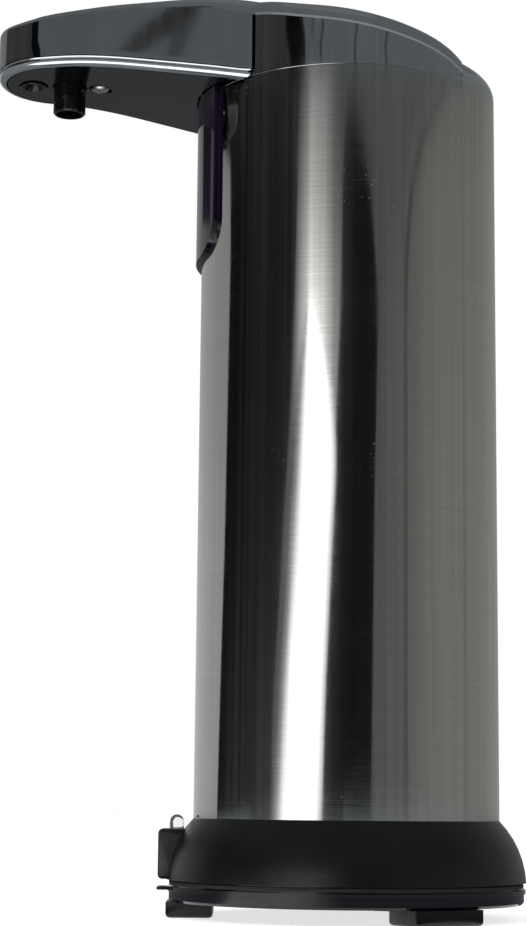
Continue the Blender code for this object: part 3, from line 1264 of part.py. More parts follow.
def make_head_shell():
    shell = add_object("head_shell", hood_surface(), "chrome")
    wall = shell.modifiers.new("wall", "SOLIDIFY")
    wall.thickness = HEAD_WALL
    wall.offset = -1
    wall.use_even_offset = True
    top = HEAD_BOTTOM + HEAD_HEIGHT
    high = top + OVERRUN
    below_crease = surface_solid("drum_below_crease", circle_plan(DRUM_RADIUS + SEAT_GAP, 0, 24),
                                 lambda x, y: HEAD_BOTTOM - HEAD_HEIGHT, lambda x, y: crease_level(x))
    rear = box("behind_the_hood", (HOOD_REAR, -TUBE_RADIUS - OVERRUN, HEAD_BOTTOM - HEAD_HEIGHT),
               (DRUM_RADIUS + OVERRUN, TUBE_RADIUS + OVERRUN, high))
    opening = rod("lid_opening", LID_RADIUS + LID_GAP, HEAD_BOTTOM, high, (NECK_OFFSET, 0),
                  segments=ROUND_SEGMENTS // 2)
    slot_half = HINGE_ARM_WIDTH / 2 + SEAT_GAP
    slot = box("arm_slot", (NECK_OFFSET + LID_RADIUS - OVERRUN, -slot_half, HEAD_BOTTOM),
               (HOOD_REAR + OVERRUN, slot_half, high))
    boss = rod("screw_boss", SCREW_BOSS_RADIUS, under_level(-SCREW_OFFSET) + UNDERPLATE_THICKNESS + SEAT_GAP,
               top_level(-SCREW_OFFSET, 0) - HEAD_WALL / 2, (-SCREW_OFFSET, 0), segments=PIN_SEGMENTS)
    cut(shell, below_crease)
    join(shell, boss)
    cut(shell, rear, opening, slot)
    hinge = hinge_place()
    for side in (-1, 1):
        inner = side * (slot_half - FINE_GAP)
        outer = side * (slot_half + HINGE_EAR_WIDTH)
        join(shell, lying_rod("hinge_ear_%s" % ("right" if side > 0 else "left"), HINGE_KNUCKLE_RADIUS,
                              (hinge[0], inner, hinge[2]), (hinge[0], outer, hinge[2]), segments=PIN_SEGMENTS))
        cut(shell, rod("button_hole_%s" % ("right" if side > 0 else "left"), BUTTON_RADIUS + SEAT_GAP,
                       board_level(), high, (-BUTTON_OFFSET, side * BUTTON_SPACING / 2)))
    cut(shell,
        lying_rod("hinge_pin_hole", HINGE_PIN_RADIUS + RUNNING_GAP, (hinge[0], -DRUM_RADIUS, hinge[2]),
                  (hinge[0], DRUM_RADIUS, hinge[2]), segments=PIN_SEGMENTS),
        rod("light_hole", LIGHT_RADIUS + SEAT_GAP, board_level(), high, (-LIGHT_OFFSET, 0), segments=PIN_SEGMENTS),
        rod("screw_thread", SCREW_SHANK_RADIUS + FINE_GAP, HEAD_BOTTOM, screw_end() + SEAT_GAP,
            (-SCREW_OFFSET, 0), segments=PIN_SEGMENTS))
    return shell


def make_head_collar():
    """The drum's wall under the hood, with a spigot that goes down into the tube."""
    top = HEAD_BOTTOM + HEAD_HEIGHT
    spigot_bottom = TUBE_TOP - COLLAR_SPIGOT_HEIGHT
    inner = TUBE_RADIUS - COLLAR_WALL
    spigot_outer = SPIGOT_OUTER
    profile = [(inner, top), (TUBE_RADIUS, top), (TUBE_RADIUS, HEAD_BOTTOM), (spigot_outer, HEAD_BOTTOM),
               (spigot_outer, spigot_bottom), (inner, spigot_bottom)]
    collar = turned("head_collar", profile, "chrome")
    shoulder_x = HOOD_REAR
    above = surface_solid("above_the_collar", oblong_plan(-TUBE_RADIUS - OVERRUN, shoulder_x, TUBE_RADIUS + OVERRUN,
                                                          24),
                          lambda x, y: crease_level(x) - SEAT_GAP, lambda x, y: top + 4 * OVERRUN)
    rear = box("above_the_rear", (shoulder_x - FINE_GAP, -TUBE_RADIUS - OVERRUN, HEAD_BOTTOM + COLLAR_REAR_HEIGHT),
               (TUBE_RADIUS + OVERRUN, TUBE_RADIUS + OVERRUN, top + 5 * OVERRUN))
    half = COLLAR_PASSAGE_HALF_WIDTH
    passage = box("spout_passage", (-TUBE_RADIUS - OVERRUN, -half, HEAD_BOTTOM + COLLAR_SILL),
                  (-half, half, top + 6 * OVERRUN))
    window_room = box("window_room", (-TUBE_RADIUS - OVERRUN, -half, spigot_bottom - OVERRUN),
                      (-half, half, HEAD_BOTTOM))
    return cut(collar, above, rear, passage, window_room)


def make_rear_shoulder():
    """The low rounded segment behind the hood."""
    low = HEAD_BOTTOM + COLLAR_REAR_HEIGHT + SEAT_GAP
    high = low + SHOULDER_HEIGHT
    edge = arc((TUBE_RADIUS - SHOULDER_FILLET, high - SHOULDER_FILLET), SHOULDER_FILLET, math.pi / 2, 0, 5)
    shoulder = turned("rear_shoulder", [(0, high), *edge, (TUBE_RADIUS, low), (0, low)], "chrome")
    keep(shoulder, box("shoulder_room", (HOOD_REAR + SEAT_GAP, -TUBE_RADIUS - OVERRUN, low - OVERRUN),
                       (TUBE_RADIUS + OVERRUN, TUBE_RADIUS + OVERRUN, high + OVERRUN)))
    return shoulder


def make_spout_trim():
    """A double bead swept along the lower edge of the spout, cut off where it meets the drum."""
    r = TRIM_HEIGHT / 4
    lower = arc((r, r), r, math.pi * 1.5, math.pi, 3)
    groove = [TRIM_HEIGHT * share for share in TRIM_GROOVE_SHARES]
    profile = [(TRIM_DEPTH, 0), *lower, (0, groove[0]), (TRIM_GROOVE, groove[1]), (TRIM_GROOVE, groove[2]),
               (0, groove[3]), (0, TRIM_HEIGHT), (TRIM_DEPTH, TRIM_HEIGHT)]
    points = []
    rings = []
    for inset, rise in profile:
        loop = mirrored_loop(head_plan(inset))
        rings.append(range(len(points), len(points) + len(loop)))
        points.extend((x, y, under_level(x) + rise) for x, y in loop)
    count = len(rings[0])
    faces = []
    for a, b in zip(rings, rings[1:] + rings[:1]):
        faces += [(a[i], a[(i + 1) % count], b[(i + 1) % count], b[i]) for i in range(count)]
    trim = add_object("spout_trim", mesh_from(points, faces, "spout_trim"), "chrome")
    return cut(trim, drum_room("trim_drum_room", DRUM_RADIUS + SEAT_GAP))


def drum_room(name, radius):
    return rod(name, radius, HEAD_BOTTOM - 3 * OVERRUN, HEAD_BOTTOM + HEAD_HEIGHT, segments=ROUND_SEGMENTS)


def make_underplate():
    plate = surface_solid("spout_underplate", head_plan(TRIM_DEPTH + SEAT_GAP), lambda x, y: under_level(x),
                          lambda x, y: under_level(x) + UNDERPLATE_THICKNESS, "gloss_black")
    cut(plate, drum_room("plate_drum_room", TUBE_RADIUS + WINDOW_PROUD + SEAT_GAP))
    top = board_level() - SEAT_GAP
    for index, (x, y) in enumerate(board_boss_places()):
        join(plate, rod("board_boss_%d" % index, BOARD_BOSS_RADIUS, under_level(x) + UNDERPLATE_THICKNESS / 2, top,
                        (x, y), segments=PIN_SEGMENTS))
    low = HEAD_BOTTOM - OVERRUN
    head_room = under_level(-SCREW_OFFSET) + SCREW_HEAD_THICKNESS
    cut(plate,
        rod("nozzle_hole", NOZZLE_RADIUS + SEAT_GAP, low, top, (-NOZZLE_OFFSET, 0)),
        rod("lens_hole", LENS_RADIUS + SEAT_GAP, low, top, (-LENS_OFFSET, 0)),
        rod("screw_head_room", SCREW_HEAD_RADIUS + SEAT_GAP, low, head_room, (-SCREW_OFFSET, 0)),
        rod("screw_shank_hole", SCREW_SHANK_RADIUS + SEAT_GAP, low, top, (-SCREW_OFFSET, 0), segments=PIN_SEGMENTS))
    return plate


def board_boss_places():
    front = -board_middle() - BOARD_LENGTH / 2 + 2 * BOARD_BOSS_RADIUS
    rear = min(-board_middle() + BOARD_LENGTH / 2 - 4 * BOARD_BOSS_RADIUS, -TUBE_RADIUS - WINDOW_PROUD)
    side = BOARD_WIDTH / 2 - BOARD_BOSS_RADIUS
    return [(front, -side), (rear, -side), ((front + rear) / 2, BOARD_BOSS_RADIUS / 2)]


# Under the spout

def plate_top(offset):
    return under_level(-offset) + UNDERPLATE_THICKNESS


def make_nozzle():
    """The outlet: a bored cylinder with a flange that rests on the plate, and a side port for the soap."""
    low = under_level(-NOZZLE_OFFSET) - NOZZLE_BELOW_SPOUT
    flange_low = highest_plate(NOZZLE_OFFSET, NOZZLE_RADIUS + NOZZLE_FLANGE_WIDTH) + SEAT_GAP
    flange_high = flange_low + NOZZLE_FLANGE_THICKNESS
    flange = NOZZLE_RADIUS + NOZZLE_FLANGE_WIDTH
    high = low + NOZZLE_LENGTH
    profile = [(0, high), (NOZZLE_RADIUS, high), (NOZZLE_RADIUS, flange_high), (flange, flange_high),
               (flange, flange_low), (NOZZLE_RADIUS, flange_low), (NOZZLE_RADIUS, low + SMALL_BEVEL),
               (NOZZLE_RADIUS - SMALL_BEVEL, low), (NOZZLE_BORE, low), (NOZZLE_BORE, high - NOZZLE_ROOF),
               (0, high - NOZZLE_ROOF)]
    nozzle = turned("nozzle", profile, "gloss_black", (-NOZZLE_OFFSET, 0, 0), segments=SMALL_SEGMENTS)
    port = nozzle_port()
    axis = (-NOZZLE_OFFSET, 0, port[2])
    cut(nozzle, lying_rod("nozzle_side_port", (high - NOZZLE_ROOF - flange_high) / 2, axis, port,
                          segments=PIN_SEGMENTS))
    valve_low = low + VALVE_LENGTH
    valve_radius = NOZZLE_BORE - SEAT_GAP
    valve = turned("nozzle_valve", [(0, valve_low + VALVE_LENGTH / 2), (valve_radius - VALVE_WALL,
                                                                       valve_low + VALVE_LENGTH),
                                    (valve_radius, valve_low + VALVE_LENGTH),
                                    (valve_radius, valve_low + VALVE_LENGTH / 2), (VALVE_WALL, valve_low),
                                    (0, valve_low)],
                   "soft_silicone", (-NOZZLE_OFFSET, 0, 0), segments=PIN_SEGMENTS)
    return nozzle, valve


def nozzle_port_way():
    return (0.6, 0.8, 0)


def nozzle_port():
    """Where the soap's tube meets the nozzle."""
    way = nozzle_port_way()
    reach = NOZZLE_RADIUS + SEAT_GAP
    low = under_level(-NOZZLE_OFFSET) - NOZZLE_BELOW_SPOUT
    flange_high = highest_plate(NOZZLE_OFFSET, NOZZLE_RADIUS + NOZZLE_FLANGE_WIDTH) + SEAT_GAP
    flange_high += NOZZLE_FLANGE_THICKNESS
    level = (flange_high + low + NOZZLE_LENGTH - NOZZLE_ROOF) / 2
    return (-NOZZLE_OFFSET + reach * way[0], reach * way[1], level)


def highest_plate(offset, radius):
    """Highest point of the underplate's upper face within a radius of a place on the centre line."""
    spots = [-offset - radius + 2 * radius * i / 8 for i in range(9)]
    return max(under_level(x) for x in spots) + UNDERPLATE_THICKNESS


def make_lens():
    low = under_level(-LENS_OFFSET) - LENS_PROUD
    flange_low = highest_plate(LENS_OFFSET, LENS_RADIUS + LENS_FLANGE_WIDTH) + SEAT_GAP
    flange = LENS_RADIUS + LENS_FLANGE_WIDTH
    high = flange_low + LENS_FLANGE_THICKNESS
    dome = [(LENS_RADIUS * math.cos(a), low + LENS_PROUD * (1 - math.sin(a))) for a in
            (math.radians(d) for d in (0, 30, 60))]
    profile = [(0, high), (flange, high), (flange, flange_low), (LENS_RADIUS, flange_low), *dome, (0, low)]
    return turned("spout_lens", profile, "gloss_black", (-LENS_OFFSET, 0, 0), segments=SMALL_SEGMENTS)


def screw_end():
    """Top of the screw's shank, inside the boss."""
    return top_level(-SCREW_OFFSET, 0) - HEAD_WALL - 2 * SCREW_SHANK_RADIUS


def make_underplate_screw():
    seat = under_level(-SCREW_OFFSET) + SCREW_HEAD_THICKNESS - SEAT_GAP
    low = seat - SCREW_HEAD_THICKNESS
    profile = [(0, screw_end()), (SCREW_SHANK_RADIUS, screw_end()), (SCREW_SHANK_RADIUS, seat),
               (SCREW_HEAD_RADIUS, seat), (SCREW_HEAD_RADIUS, low + SMALL_BEVEL),
               (SCREW_HEAD_RADIUS - SMALL_BEVEL, low), (0, low)]
    screw = turned("underplate_screw", profile, "spring_steel", (-SCREW_OFFSET, 0, 0), segments=PIN_SEGMENTS)
    reach = SCREW_HEAD_RADIUS * SLOT_SHARE
    half = SMALL_BEVEL * SLOT_SHARE
    for name, x_half, y_half in (("long", reach, half), ("cross", half, reach)):
        cut(screw, box("screw_slot_" + name, (-SCREW_OFFSET - x_half, -y_half, low - OVERRUN),
                       (-SCREW_OFFSET + x_half, y_half, low + SCREW_HEAD_THICKNESS / 2)))
    return screw


# Buttons, board and light

def lowest_ceiling(x, y, radius):
    """Lowest point of the hood's inner face within a radius."""
    spots = [(x + radius * math.cos(a), y + radius * math.sin(a)) for a in
             (2 * math.pi * i / 16 for i in range(16))]
    return min(top_level(*spot) for spot in spots) - HEAD_WALL


def button_flange_top():
    return lowest_ceiling(-BUTTON_OFFSET, BUTTON_SPACING / 2, BUTTON_RADIUS + BUTTON_FLANGE_WIDTH) - SEAT_GAP


def switch_top():
    return button_flange_top() - BUTTON_FLANGE_THICKNESS - BUTTON_TRAVEL - SEAT_GAP


def board_level():
    """Underside of the control board."""
    return switch_top() - SWITCH_HEIGHT - SEAT_GAP - BOARD_THICKNESS


def board_middle():
    return BUTTON_OFFSET + SWITCH_SIZE / 2


def make_board():
    front = -board_middle() - BOARD_LENGTH / 2
    return box("control_board", (front, -BOARD_WIDTH / 2, board_level()),
               (front + BOARD_LENGTH, BOARD_WIDTH / 2, board_level() + BOARD_THICKNESS), "green_board")


def make_buttons():
    x = -BUTTON_OFFSET
    flange_top = button_flange_top()
    flange_low = flange_top - BUTTON_FLANGE_THICKNESS
    plunger_low = switch_top() - PLUNGER_DEPTH
    for label, side, joint in (("plus", -1, PLUS_PRESS), ("minus", 1, MINUS_PRESS)):
        y = side * BUTTON_SPACING / 2
        top = top_level(x, y) + BUTTON_PROUD
        dish = BUTTON_RADIUS * DISH_SHARE
        profile = [(0, top - BUTTON_DISH_DEPTH), (dish / 2, top - BUTTON_DISH_DEPTH * 3 / 4), (dish, top),
                   (BUTTON_RADIUS - SMALL_BEVEL, top), (BUTTON_RADIUS, top - SMALL_BEVEL),
                   (BUTTON_RADIUS, flange_top), (BUTTON_RADIUS + BUTTON_FLANGE_WIDTH, flange_top),
                   (BUTTON_RADIUS + BUTTON_FLANGE_WIDTH, flange_low), (0, flange_low)]
        button = turned(label + "_button", profile, "gloss_black", (x, y, 0), segments=SMALL_SEGMENTS)
        hang_on(button, joint)
        plunger = rod(label + "_plunger", PLUNGER_RADIUS, plunger_low, flange_low - FINE_GAP, (x, y),
                      "white_plastic", PIN_SEGMENTS)
        hang_on(plunger, joint)
        half = SWITCH_SIZE / 2
        board_top = board_level() + BOARD_THICKNESS + SEAT_GAP
        switch = box(label + "_switch", (x - half, max(y - half, -BUTTON_SPACING), board_top),
                     (x + half, y + half, switch_top()), "grey_plastic")
        cut(switch, rod(label + "_well", PLUNGER_RADIUS + SEAT_GAP, plunger_low - BUTTON_TRAVEL - SEAT_GAP,
                        switch_top() + OVERRUN, (x, y), segments=PIN_SEGMENTS))


def make_light():
    x = -LIGHT_OFFSET
    flange_top = lowest_ceiling(x, 0, LIGHT_RADIUS + LIGHT_FLANGE_WIDTH) - SEAT_GAP
    low = board_level() + BOARD_THICKNESS + SEAT_GAP
    flange = LIGHT_RADIUS + LIGHT_FLANGE_WIDTH
    top = top_level(x, 0)
    profile = [(0, top), (LIGHT_RADIUS, top - FINE_GAP), (LIGHT_RADIUS, flange_top), (flange, flange_top),
               (flange, flange_top - LIGHT_FLANGE_THICKNESS), (LIGHT_RADIUS, flange_top - LIGHT_FLANGE_THICKNESS),
               (LIGHT_RADIUS, low), (0, low)]
    return turned("status_lens", profile, "clear_plastic", (x, 0, 0), segments=PIN_SEGMENTS)


# Filler lid

def seal_bottom(x, y):
    return top_level(x, y) - LID_THICKNESS - SEAT_GAP - LID_SEAL_THICKNESS


def seal_top(x, y):
    return seal_bottom(x, y) + LID_SEAL_THICKNESS


def lid_under(x, y):
    return top_level(x, y) - LID_THICKNESS


def skirt_low(x, y):
    return lid_under(x, y) - LID_SKIRT_HEIGHT


def make_filler_lid():
    lid = surface_solid("filler_lid", circle_plan(LID_RADIUS, NECK_OFFSET), lid_under, top_level, "chrome",
                        TOP_STRIPS)
    skirt_outer = LID_RADIUS - LID_SKIRT_INSET
    skirt = surface_solid("lid_skirt", circle_plan(skirt_outer, NECK_OFFSET), skirt_low,
                          lambda x, y: lid_under(x, y) + LID_THICKNESS / 2)
    hollow = surface_solid("lid_hollow", circle_plan(skirt_outer - LID_SKIRT_WALL, NECK_OFFSET),
                           lambda x, y: skirt_low(x, y) - OVERRUN, lid_under)
    hinge = hinge_place()
    half = HINGE_ARM_WIDTH / 2
    join(lid, skirt)
    cut(lid, hollow)
    arm = surface_solid("hinge_arm", oblong_plan(NECK_OFFSET + LID_RADIUS - OVERRUN, hinge[0], half, 3),
                        lambda x, y: top_level(x, 0) - LID_THICKNESS, lambda x, y: top_level(x, 0) - FINE_GAP)
    knuckle = lying_rod("lid_knuckle", HINGE_KNUCKLE_RADIUS, (hinge[0], -half, hinge[2]), (hinge[0], half, hinge[2]),
                        segments=PIN_SEGMENTS)
    ridge_x = NECK_OFFSET - LID_RADIUS + LID_THUMB_INSET
    ridge = lying_rod("thumb_ridge", LID_THUMB_RADIUS, (ridge_x, -LID_THUMB_LENGTH / 2, top_level(ridge_x, 0)),
                      (ridge_x, LID_THUMB_LENGTH / 2, top_level(ridge_x, 0)), segments=PIN_SEGMENTS)
    join(lid, arm, knuckle, ridge)
    cut(lid, lying_rod("lid_pin_hole", HINGE_PIN_RADIUS + RUNNING_GAP, (hinge[0], -DRUM_RADIUS, hinge[2]),
                       (hinge[0], DRUM_RADIUS, hinge[2]), segments=PIN_SEGMENTS))
    hang_on(lid, LID_HINGE)
    seal = surface_solid("lid_seal", circle_plan(NECK_RADIUS, NECK_OFFSET), seal_bottom, seal_top,
                         "black_rubber")
    cut(seal, rod("seal_bore", NECK_RADIUS - LID_SEAL_WIDTH, HEAD_BOTTOM, HEAD_BOTTOM + HEAD_HEIGHT,
                  (NECK_OFFSET, 0), segments=ROUND_SEGMENTS // 2))
    hang_on(seal, LID_HINGE)
    reach = half + HINGE_EAR_WIDTH
    lying_rod("lid_hinge_pin", HINGE_PIN_RADIUS, (hinge[0], -reach, hinge[2]), (hinge[0], reach, hinge[2]),
              "spring_steel", PIN_SEGMENTS)


def main():
    make_base_ring()
    make_latch_pin()
    make_battery_cover()
    make_feet()
    make_tray()
    make_cells()
    make_contacts()
    make_leads()
    make_body_tube()
    make_sensor_window()
    make_sensor()
    make_tank()
    make_tank_top()
    make_suction_tube()
    make_gears()
    make_pump()
    make_motor()
    make_delivery_tube()
    make_head_shell()
    make_head_collar()
    make_rear_shoulder()
    make_spout_trim()
    make_underplate()
    make_nozzle()
    make_lens()
    make_underplate_screw()
    make_board()
    make_buttons()
    make_light()
    make_filler_lid()


main()
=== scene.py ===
"""The looks of an automatic soap dispenser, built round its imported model.

Metres, in the row frame. Finer pieces stand in for the solids that make up the outside, the others stay as they are,
and each one gets a procedural material.
"""
import json
import math

import bmesh
import bpy
from mathutils import Matrix, Vector

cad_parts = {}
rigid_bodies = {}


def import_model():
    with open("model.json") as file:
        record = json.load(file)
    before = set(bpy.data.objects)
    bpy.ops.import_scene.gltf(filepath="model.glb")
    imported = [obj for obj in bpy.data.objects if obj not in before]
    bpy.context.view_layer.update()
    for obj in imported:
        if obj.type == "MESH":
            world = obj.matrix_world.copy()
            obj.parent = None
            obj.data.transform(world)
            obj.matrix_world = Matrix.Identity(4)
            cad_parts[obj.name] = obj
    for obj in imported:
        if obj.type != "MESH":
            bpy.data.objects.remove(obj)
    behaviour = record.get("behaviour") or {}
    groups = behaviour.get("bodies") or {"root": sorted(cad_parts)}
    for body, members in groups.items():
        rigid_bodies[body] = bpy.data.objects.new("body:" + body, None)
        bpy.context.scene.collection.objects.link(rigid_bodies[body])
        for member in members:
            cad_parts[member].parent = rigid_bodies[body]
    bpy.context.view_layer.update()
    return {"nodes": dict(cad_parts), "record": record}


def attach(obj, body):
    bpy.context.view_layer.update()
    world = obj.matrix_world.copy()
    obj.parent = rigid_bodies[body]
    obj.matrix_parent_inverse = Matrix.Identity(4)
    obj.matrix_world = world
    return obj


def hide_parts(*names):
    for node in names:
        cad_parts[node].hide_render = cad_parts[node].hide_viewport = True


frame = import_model()

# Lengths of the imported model, and the few that only the finer pieces have
SPOUT_REACH = 0.0755
BASE_RADIUS = 0.0365
SEAT_GAP = 0.0003
FINE_GAP = 0.0001
RUNNING_GAP = 0.00008
OVERRUN = 0.001
SMALL_BEVEL = 0.0003
SEAM = 0.00002
RIM_BEVEL = 0.00012

# Base
FOOT_HEIGHT = 0.0030
FOOT_REACH = 0.0364
FOOT_DEPTH = 0.0095
FOOT_WIDTH = 0.0160
FOOT_BEVEL = 0.0005
FOOT_ROUNDING = 0.0008
COVER_THICKNESS = 0.0030
COVER_SETBACK = 0.0005
COVER_FLANGE_SETBACK = 0.0002
COVER_FLANGE_THICKNESS = 0.00085
COVER_RIM_WALL = 0.0012
COVER_RIM_HEIGHT = 0.0022
COVER_GROOVE = 0.0013
LIP_REACH = 0.0384
LIP_WIDTH = 0.0090
RING_HEIGHT = 0.0122
RING_ARC_RADIUS = 0.0185
RING_WALL = 0.0018
DECK_THICKNESS = 0.0024
SPIGOT_HEIGHT = 0.0064
SPIGOT_WALL = 0.0014
BLOCK_REACH = 0.0382
BLOCK_DEPTH = 0.0072
BLOCK_WIDTH = 0.0100
BLOCK_TOP_BELOW_DECK = 0.0021
BLOCK_BEVEL = 0.0008
PIN_SETBACK = 0.00365
PIN_HEAD_RADIUS = 0.00145
PIN_HEAD_LENGTH = 0.00535
PIN_PROUD = 0.00285
PIN_STEM_RADIUS = 0.00080
PIN_TRAVEL = 0.0015
PIN_SPRING_LENGTH = 0.0042
PIN_SPRING_CLEARANCE = 0.00012

# Tube and window
TUBE_RADIUS = 0.0312
TUBE_WALL = 0.0006
TUBE_LENGTH = 0.1498
WINDOW_HALF_WIDTH = 0.0149
WINDOW_HEIGHT = 0.0350
WINDOW_CORNER = 0.0070
WINDOW_PROUD = 0.0012
WINDOW_ABOVE_TUBE = 0.0010
WINDOW_LAP = 0.0015
WINDOW_PEG_RADIUS = 0.0010
SENSOR_BOARD_SETBACK = 0.0042
SENSOR_BOARD_HEIGHT = 0.0220
SENSOR_LED_SPACING = 0.0120
LEAD_SPACING = 0.0024
LEAD_HOLE_RADIUS = 0.0009
LEAD_NOTCH_WIDTH = 0.0060
TANK_SPACE = 0.0022

# Head
NECK_OFFSET = 0.0040
HEAD_HEIGHT = 0.0200
HEAD_WALL = 0.0015
HEAD_CROWN = 0.0012
TIP_RADIUS = 0.0132
FLANK_ANGLE = math.radians(13.8)
HOOD_LIP = 0.0003
FILLET_INSET = 0.0030
FILLET_HEIGHT = 0.0038
FILLET_START = math.radians(20.0)
TIP_FILLET_SHARE = 0.32
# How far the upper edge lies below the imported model's, nearest the tip, at shares of the head's length
DROP_X_SHARES = (0, 0.041, 0.075, 0.103, 0.15, 0.224, 0.30, 0.374, 0.467, 0.547)
DROPS = (0.0020, 0.0026, 0.0025, 0.0020, 0.0016, 0.00115, 0.0010, 0.00065, 0.0001, 0)
HOOD_REAR = 0.0224
UNDERSIDE_RISE = 0.0052
COLLAR_WALL = 0.0022
COLLAR_REAR_HEIGHT = 0.0010
COLLAR_SPIGOT_HEIGHT = 0.0070
COLLAR_PASSAGE_HALF_WIDTH = 0.0170
COLLAR_SILL = 0.0013
SHOULDER_HEIGHT = 0.0041
SHOULDER_INSET = 0.0040
SHOULDER_FALL = 0.0039
TRIM_HEIGHT = 0.0020
TRIM_DEPTH = 0.0016
UNDERPLATE_THICKNESS = 0.0015

# Filler lid
LID_GAP = 0.0004
LID_RADIUS = 0.0152
LID_THICKNESS = 0.0016
LID_SKIRT_INSET = 0.0006
LID_SKIRT_WALL = 0.0010
LID_SKIRT_HEIGHT = 0.0014
LID_THUMB_RADIUS = 0.0009
LID_THUMB_LENGTH = 0.0080
LID_THUMB_INSET = 0.0026
HINGE_SETBACK = 0.0016
HINGE_LIFT = 0.0003
HINGE_KNUCKLE_RADIUS = 0.0013
HINGE_PIN_RADIUS = 0.00060
HINGE_ARM_WIDTH = 0.0070
HINGE_EAR_WIDTH = 0.0027

# Buttons, light and control board
BUTTON_OFFSET = 0.0350
BUTTON_SPACING = 0.0120
BUTTON_RADIUS = 0.0040
BUTTON_PROUD = 0.0003
BUTTON_FLANGE_WIDTH = 0.0010
BUTTON_FLANGE_THICKNESS = 0.0007
BUTTON_DISH_DEPTH = 0.0002
BUTTON_DISH_SHARE = 0.7
BUTTON_TRAVEL = 0.0006
SWITCH_SIZE = 0.0060
SWITCH_HEIGHT = 0.0024
LIGHT_OFFSET = 0.0440
LIGHT_RADIUS = 0.0012
LIGHT_FLANGE_WIDTH = 0.0008
LIGHT_FLANGE_THICKNESS = 0.0007
BOARD_THICKNESS = 0.0012
BOARD_LENGTH = 0.0260
BOARD_WIDTH = 0.0180
BOARD_BOSS_RADIUS = 0.0015

# Nozzle, lens and screw
NOZZLE_OFFSET = 0.0602
NOZZLE_RADIUS = 0.00345
NOZZLE_LENGTH = 0.0136
NOZZLE_BELOW_SPOUT = 0.0063
NOZZLE_BORE = 0.0028
NOZZLE_FLANGE_WIDTH = 0.0007
NOZZLE_FLANGE_THICKNESS = 0.0008
NOZZLE_ROOF = 0.0012
NOZZLE_PORT_WAY = (0.6, 0.8)
VALVE_LENGTH = 0.0030
VALVE_WALL = 0.0006
LENS_OFFSET = 0.0680
LENS_RADIUS = 0.00285
LENS_PROUD = 0.0004
LENS_BEZEL = 0.0006
LENS_FLANGE_WIDTH = 0.0005
LENS_FLANGE_THICKNESS = 0.0008
SCREW_OFFSET = 0.0536
SCREW_HEAD_RADIUS = 0.0019
SCREW_HEAD_THICKNESS = 0.0009
SCREW_SHANK_RADIUS = 0.0010
SCREW_BOSS_RADIUS = 0.0020
SCREW_SLOT_REACH = 0.00114
SCREW_SLOT_HALF = 0.00021

# The bright band on the cells' sleeves
CELL_BAND_PLACE = 0.0125
CELL_BAND_BLUR = 0.0002

# Levels of the head's upper and lower edge, as shares
EDGE_X_SHARES = (0.0, 0.09, 0.20, 0.29, 0.40, 0.51, 0.605, 0.70, 0.79, 0.86, 0.895, 0.92, 1.0)
EDGE_Z_SHARES = (0.965, 0.985, 0.996, 1.0, 0.978, 0.895, 0.757, 0.66, 0.55, 0.442, 0.36, 0.275, 0.10)
UNDER_X_SHARES = (0.0, 0.126, 0.232, 0.338, 0.47, 0.603, 0.735, 1.0)
UNDER_Z_SHARES = (0.98, 1.0, 0.97, 0.81, 0.5, 0.17, -0.15, -0.2)

# Fineness
ROUND_SEGMENTS = 192
SMALL_SEGMENTS = 64
PIN_SEGMENTS = 32
TIP_STEPS = 24
FLANK_STEPS = 16
DRUM_STEPS = 48
FILLET_STEPS = 10
TOP_STRIPS = 24

# Places that follow
COVER_BOTTOM = FOOT_HEIGHT + FINE_GAP
COVER_TOP = COVER_BOTTOM + COVER_THICKNESS
RING_BOTTOM = COVER_TOP + COVER_GROOVE
RING_TOP = RING_BOTTOM + RING_HEIGHT
DECK_BOTTOM = RING_TOP - DECK_THICKNESS
TUBE_BOTTOM = RING_TOP + SEAT_GAP
TUBE_TOP = TUBE_BOTTOM + TUBE_LENGTH
HEAD_BOTTOM = TUBE_TOP + SEAT_GAP
TUBE_INNER = TUBE_RADIUS - TUBE_WALL
SPIGOT_OUTER = TUBE_INNER - SEAT_GAP
SPIGOT_INNER = SPIGOT_OUTER - SPIGOT_WALL
TANK_RADIUS = TUBE_INNER - TANK_SPACE
DRUM_RADIUS = TUBE_RADIUS + HOOD_LIP
LEAD_CIRCLE = TANK_RADIUS + (TUBE_INNER - TANK_RADIUS) / 2
AXIS_SHIFT = (SPOUT_REACH - BASE_RADIUS) / 2
EDGE_LENGTH = SPOUT_REACH + DRUM_RADIUS
EDGE_HEIGHT = HEAD_HEIGHT - HEAD_CROWN
PIN_X = -(BLOCK_REACH - PIN_SETBACK)
BLOCK_TOP = RING_TOP - BLOCK_TOP_BELOW_DECK

# The trim's outline as shares of its depth and height: a slanted lower bead, a groove and a thin upper bead
TRIM_SHARES = ((0.74, 0), (0.50, 0.07), (0.29, 0.18), (0.13, 0.32), (0.03, 0.48), (0, 0.53), (0.25, 0.56),
               (0.25, 0.80), (0.10, 0.83), (0, 0.92), (0, 1))

# Camera, fitted to the photograph's view, in the tube axis's frame
PICTURE_HEIGHT = 926
FOCAL_PIXELS = 2099.5
SENSOR = 36.0
CAMERA_DISTANCE = 0.4360
CAMERA_HEIGHT = 0.0226
CAMERA_SIDE = math.radians(3.0)
CAMERA_YAW = 0.0120
CAMERA_PITCH = 0.16098
CAMERA_ROLL = 0.009824

